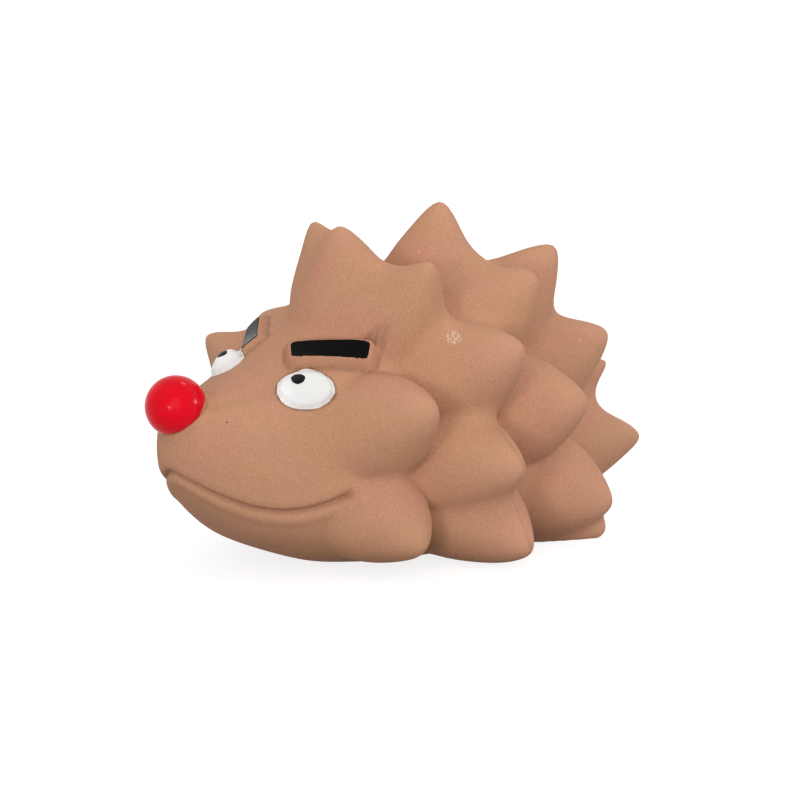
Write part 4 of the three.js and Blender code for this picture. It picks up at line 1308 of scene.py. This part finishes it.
class HEDGEHOG_OT_squeaker(bpy.types.Operator):
    """Give the squeaker's own parts their plastic finishes"""

    bl_idname = "hedgehog.finish_squeaker"
    bl_label = "Squeaker Finish"

    def execute(self, context):
        looks = context.scene.hedgehog_colours
        cup = plastic_material("squeaker cup plastic", looks.plastic, roughness=0.42, clear=0.0)
        inner = plastic_material("squeaker inner plastic", looks.plastic, roughness=0.5,
                                 clear=0.0)
        film = plastic_material("reed film", looks.film, roughness=0.2, clear=0.6)
        finishes = {
            "squeaker_body": cup,
            "squeaker_cap": cup,
            "squeaker_reed_seat": inner,
            "squeaker_reed_clip": inner,
            "squeaker_reed": film,
        }
        for node, material in finishes.items():
            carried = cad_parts[node]
            for slot in carried.material_slots:
                slot.material = material
        return {"FINISHED"}


def seen_ray(tree):
    """1 where a surface is seen, directly, mirrored or through a clear piece, or else 0."""
    path = tree.nodes.new("ShaderNodeLightPath")
    direct = math_node(tree, "MAXIMUM", path.outputs["Is Camera Ray"],
                       path.outputs["Is Glossy Ray"])
    return math_node(tree, "MAXIMUM", direct, path.outputs["Is Transmission Ray"])


def floor_material():
    """A pale floor that keeps the shadow and glows a little where it is seen."""
    glow = bpy.context.scene.hedgehog_stage.floor_glow
    material, tree, shader = new_material("pale floor")
    shader.inputs["Base Color"].default_value = (*tint(150, 150, 150), 1)
    shader.inputs["Roughness"].default_value = 0.9
    seen = seen_ray(tree)
    light = tree.nodes.new("ShaderNodeEmission")
    link(tree, math_node(tree, "MULTIPLY", seen, glow), light.inputs["Strength"])
    both = tree.nodes.new("ShaderNodeAddShader")
    link(tree, shader.outputs[0], both.inputs[0])
    link(tree, light.outputs[0], both.inputs[1])
    link(tree, both.outputs[0], tree.nodes["Material Output"].inputs["Surface"])
    return material


def white_world(strength):
    """Even light all round that is white where it is seen."""
    world = bpy.data.worlds.new("studio")
    world.use_nodes = True
    tree = world.node_tree
    seen = seen_ray(tree)
    power = math_node(tree, "ADD", strength, math_node(tree, "MULTIPLY", seen, 1 - strength))
    back = tree.nodes["Background"]
    back.inputs["Color"].default_value = (1, 1, 1, 1)
    link(tree, power, back.inputs["Strength"])
    return world


def place_sun(name, strength, spread, way):
    """A soft even light that comes from a direction, as wide on the sky as its spread."""
    lamp = bpy.data.lights.new(name, "SUN")
    lamp.energy = strength
    lamp.angle = np.radians(spread)
    holder = bpy.data.objects.new(name, lamp)
    bpy.context.scene.collection.objects.link(holder)
    back = unit(np.array(way, float))
    side = unit(np.cross([0, 0, 1], back))
    turn = np.stack([side, np.cross(back, side), back], -1)
    holder.matrix_world = Matrix(turn.tolist()).to_4x4()


class HEDGEHOG_OT_stage(bpy.types.Operator):
    """Make the floor, the even light, the lamps and the camera"""

    bl_idname = "hedgehog.set_stage"
    bl_label = "Stage"

    def execute(self, context):
        stage = context.scene.hedgehog_stage
        mesh = bpy.data.meshes.new("floor")
        corners = np.array([[-1, -1, 0], [1, -1, 0], [1, 1, 0], [-1, 1, 0]]) * FLOOR_HALF
        corners[:, 2] = FLOOR_LEVEL
        mesh.from_pydata(corners.tolist(), [], [(0, 1, 2, 3)])
        floor = bpy.data.objects.new("floor", mesh)
        context.scene.collection.objects.link(floor)
        mesh.materials.append(floor_material())
        context.scene.world = white_world(stage.sky)
        for name, setting, spread, way in LAMPS:
            place_sun(name, getattr(stage, setting), spread, way)
        lens = bpy.data.cameras.new("camera")
        lens.lens = LENS
        lens.sensor_width = 36.0
        lens.clip_start = 0.05
        lens.clip_end = 20.0
        camera = bpy.data.objects.new("camera", lens)
        context.scene.collection.objects.link(camera)
        across, high, forward = CAMERA_PLACE
        place = across * CAMERA_RIGHT + high * CAMERA_UP + forward * CAMERA_AWAY
        place = place + np.array([SHIFT, 0, 0])
        turn = np.stack([CAMERA_RIGHT, CAMERA_UP, -CAMERA_AWAY], -1)
        camera.matrix_world = Matrix.Translation((place * MM).tolist()) @ Matrix(
            turn.tolist()).to_4x4()
        context.scene.camera = camera
        context.scene.view_settings.view_transform = "Standard"
        return {"FINISHED"}


class HEDGEHOG_PT_panel(bpy.types.Panel):
    """Sizes, colours and the steps that make the toy"""

    bl_idname = "HEDGEHOG_PT_panel"
    bl_label = "Hedgehog Toy"
    bl_space_type = "VIEW_3D"
    bl_region_type = "UI"
    bl_category = "Hedgehog Toy"

    def draw(self, context):
        for group in ("hedgehog_shell", "hedgehog_face", "hedgehog_colours", "hedgehog_stage"):
            settings = getattr(context.scene, group)
            box = self.layout.box()
            for name in settings.bl_rna.properties.keys():
                if name not in {"rna_type", "name"}:
                    box.prop(settings, name)
        for step in OPERATORS:
            self.layout.operator(step.bl_idname)


OPERATORS = (
    HEDGEHOG_OT_shell,
    HEDGEHOG_OT_nose,
    HEDGEHOG_OT_eyes,
    HEDGEHOG_OT_brows,
    HEDGEHOG_OT_wadding,
    HEDGEHOG_OT_squeaker,
    HEDGEHOG_OT_stage,
)
SETTINGS = {
    "hedgehog_shell": HedgehogShell,
    "hedgehog_face": HedgehogFace,
    "hedgehog_colours": HedgehogColours,
    "hedgehog_stage": HedgehogStage,
}


def register():
    for group in (*SETTINGS.values(), *OPERATORS, HEDGEHOG_PT_panel):
        bpy.utils.register_class(group)
    for name, group in SETTINGS.items():
        setattr(bpy.types.Scene, name, PointerProperty(type=group))


def unregister():
    for name in SETTINGS:
        delattr(bpy.types.Scene, name)
    for group in (HEDGEHOG_PT_panel, *reversed(OPERATORS), *SETTINGS.values()):
        bpy.utils.unregister_class(group)


def main():
    """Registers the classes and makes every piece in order."""
    register()
    bpy.ops.hedgehog.make_shell()
    bpy.ops.hedgehog.make_nose()
    bpy.ops.hedgehog.make_eyes()
    bpy.ops.hedgehog.make_brows()
    bpy.ops.hedgehog.make_wadding()
    bpy.ops.hedgehog.finish_squeaker()
    bpy.ops.hedgehog.set_stage()


if __name__ == "__main__":
    main()
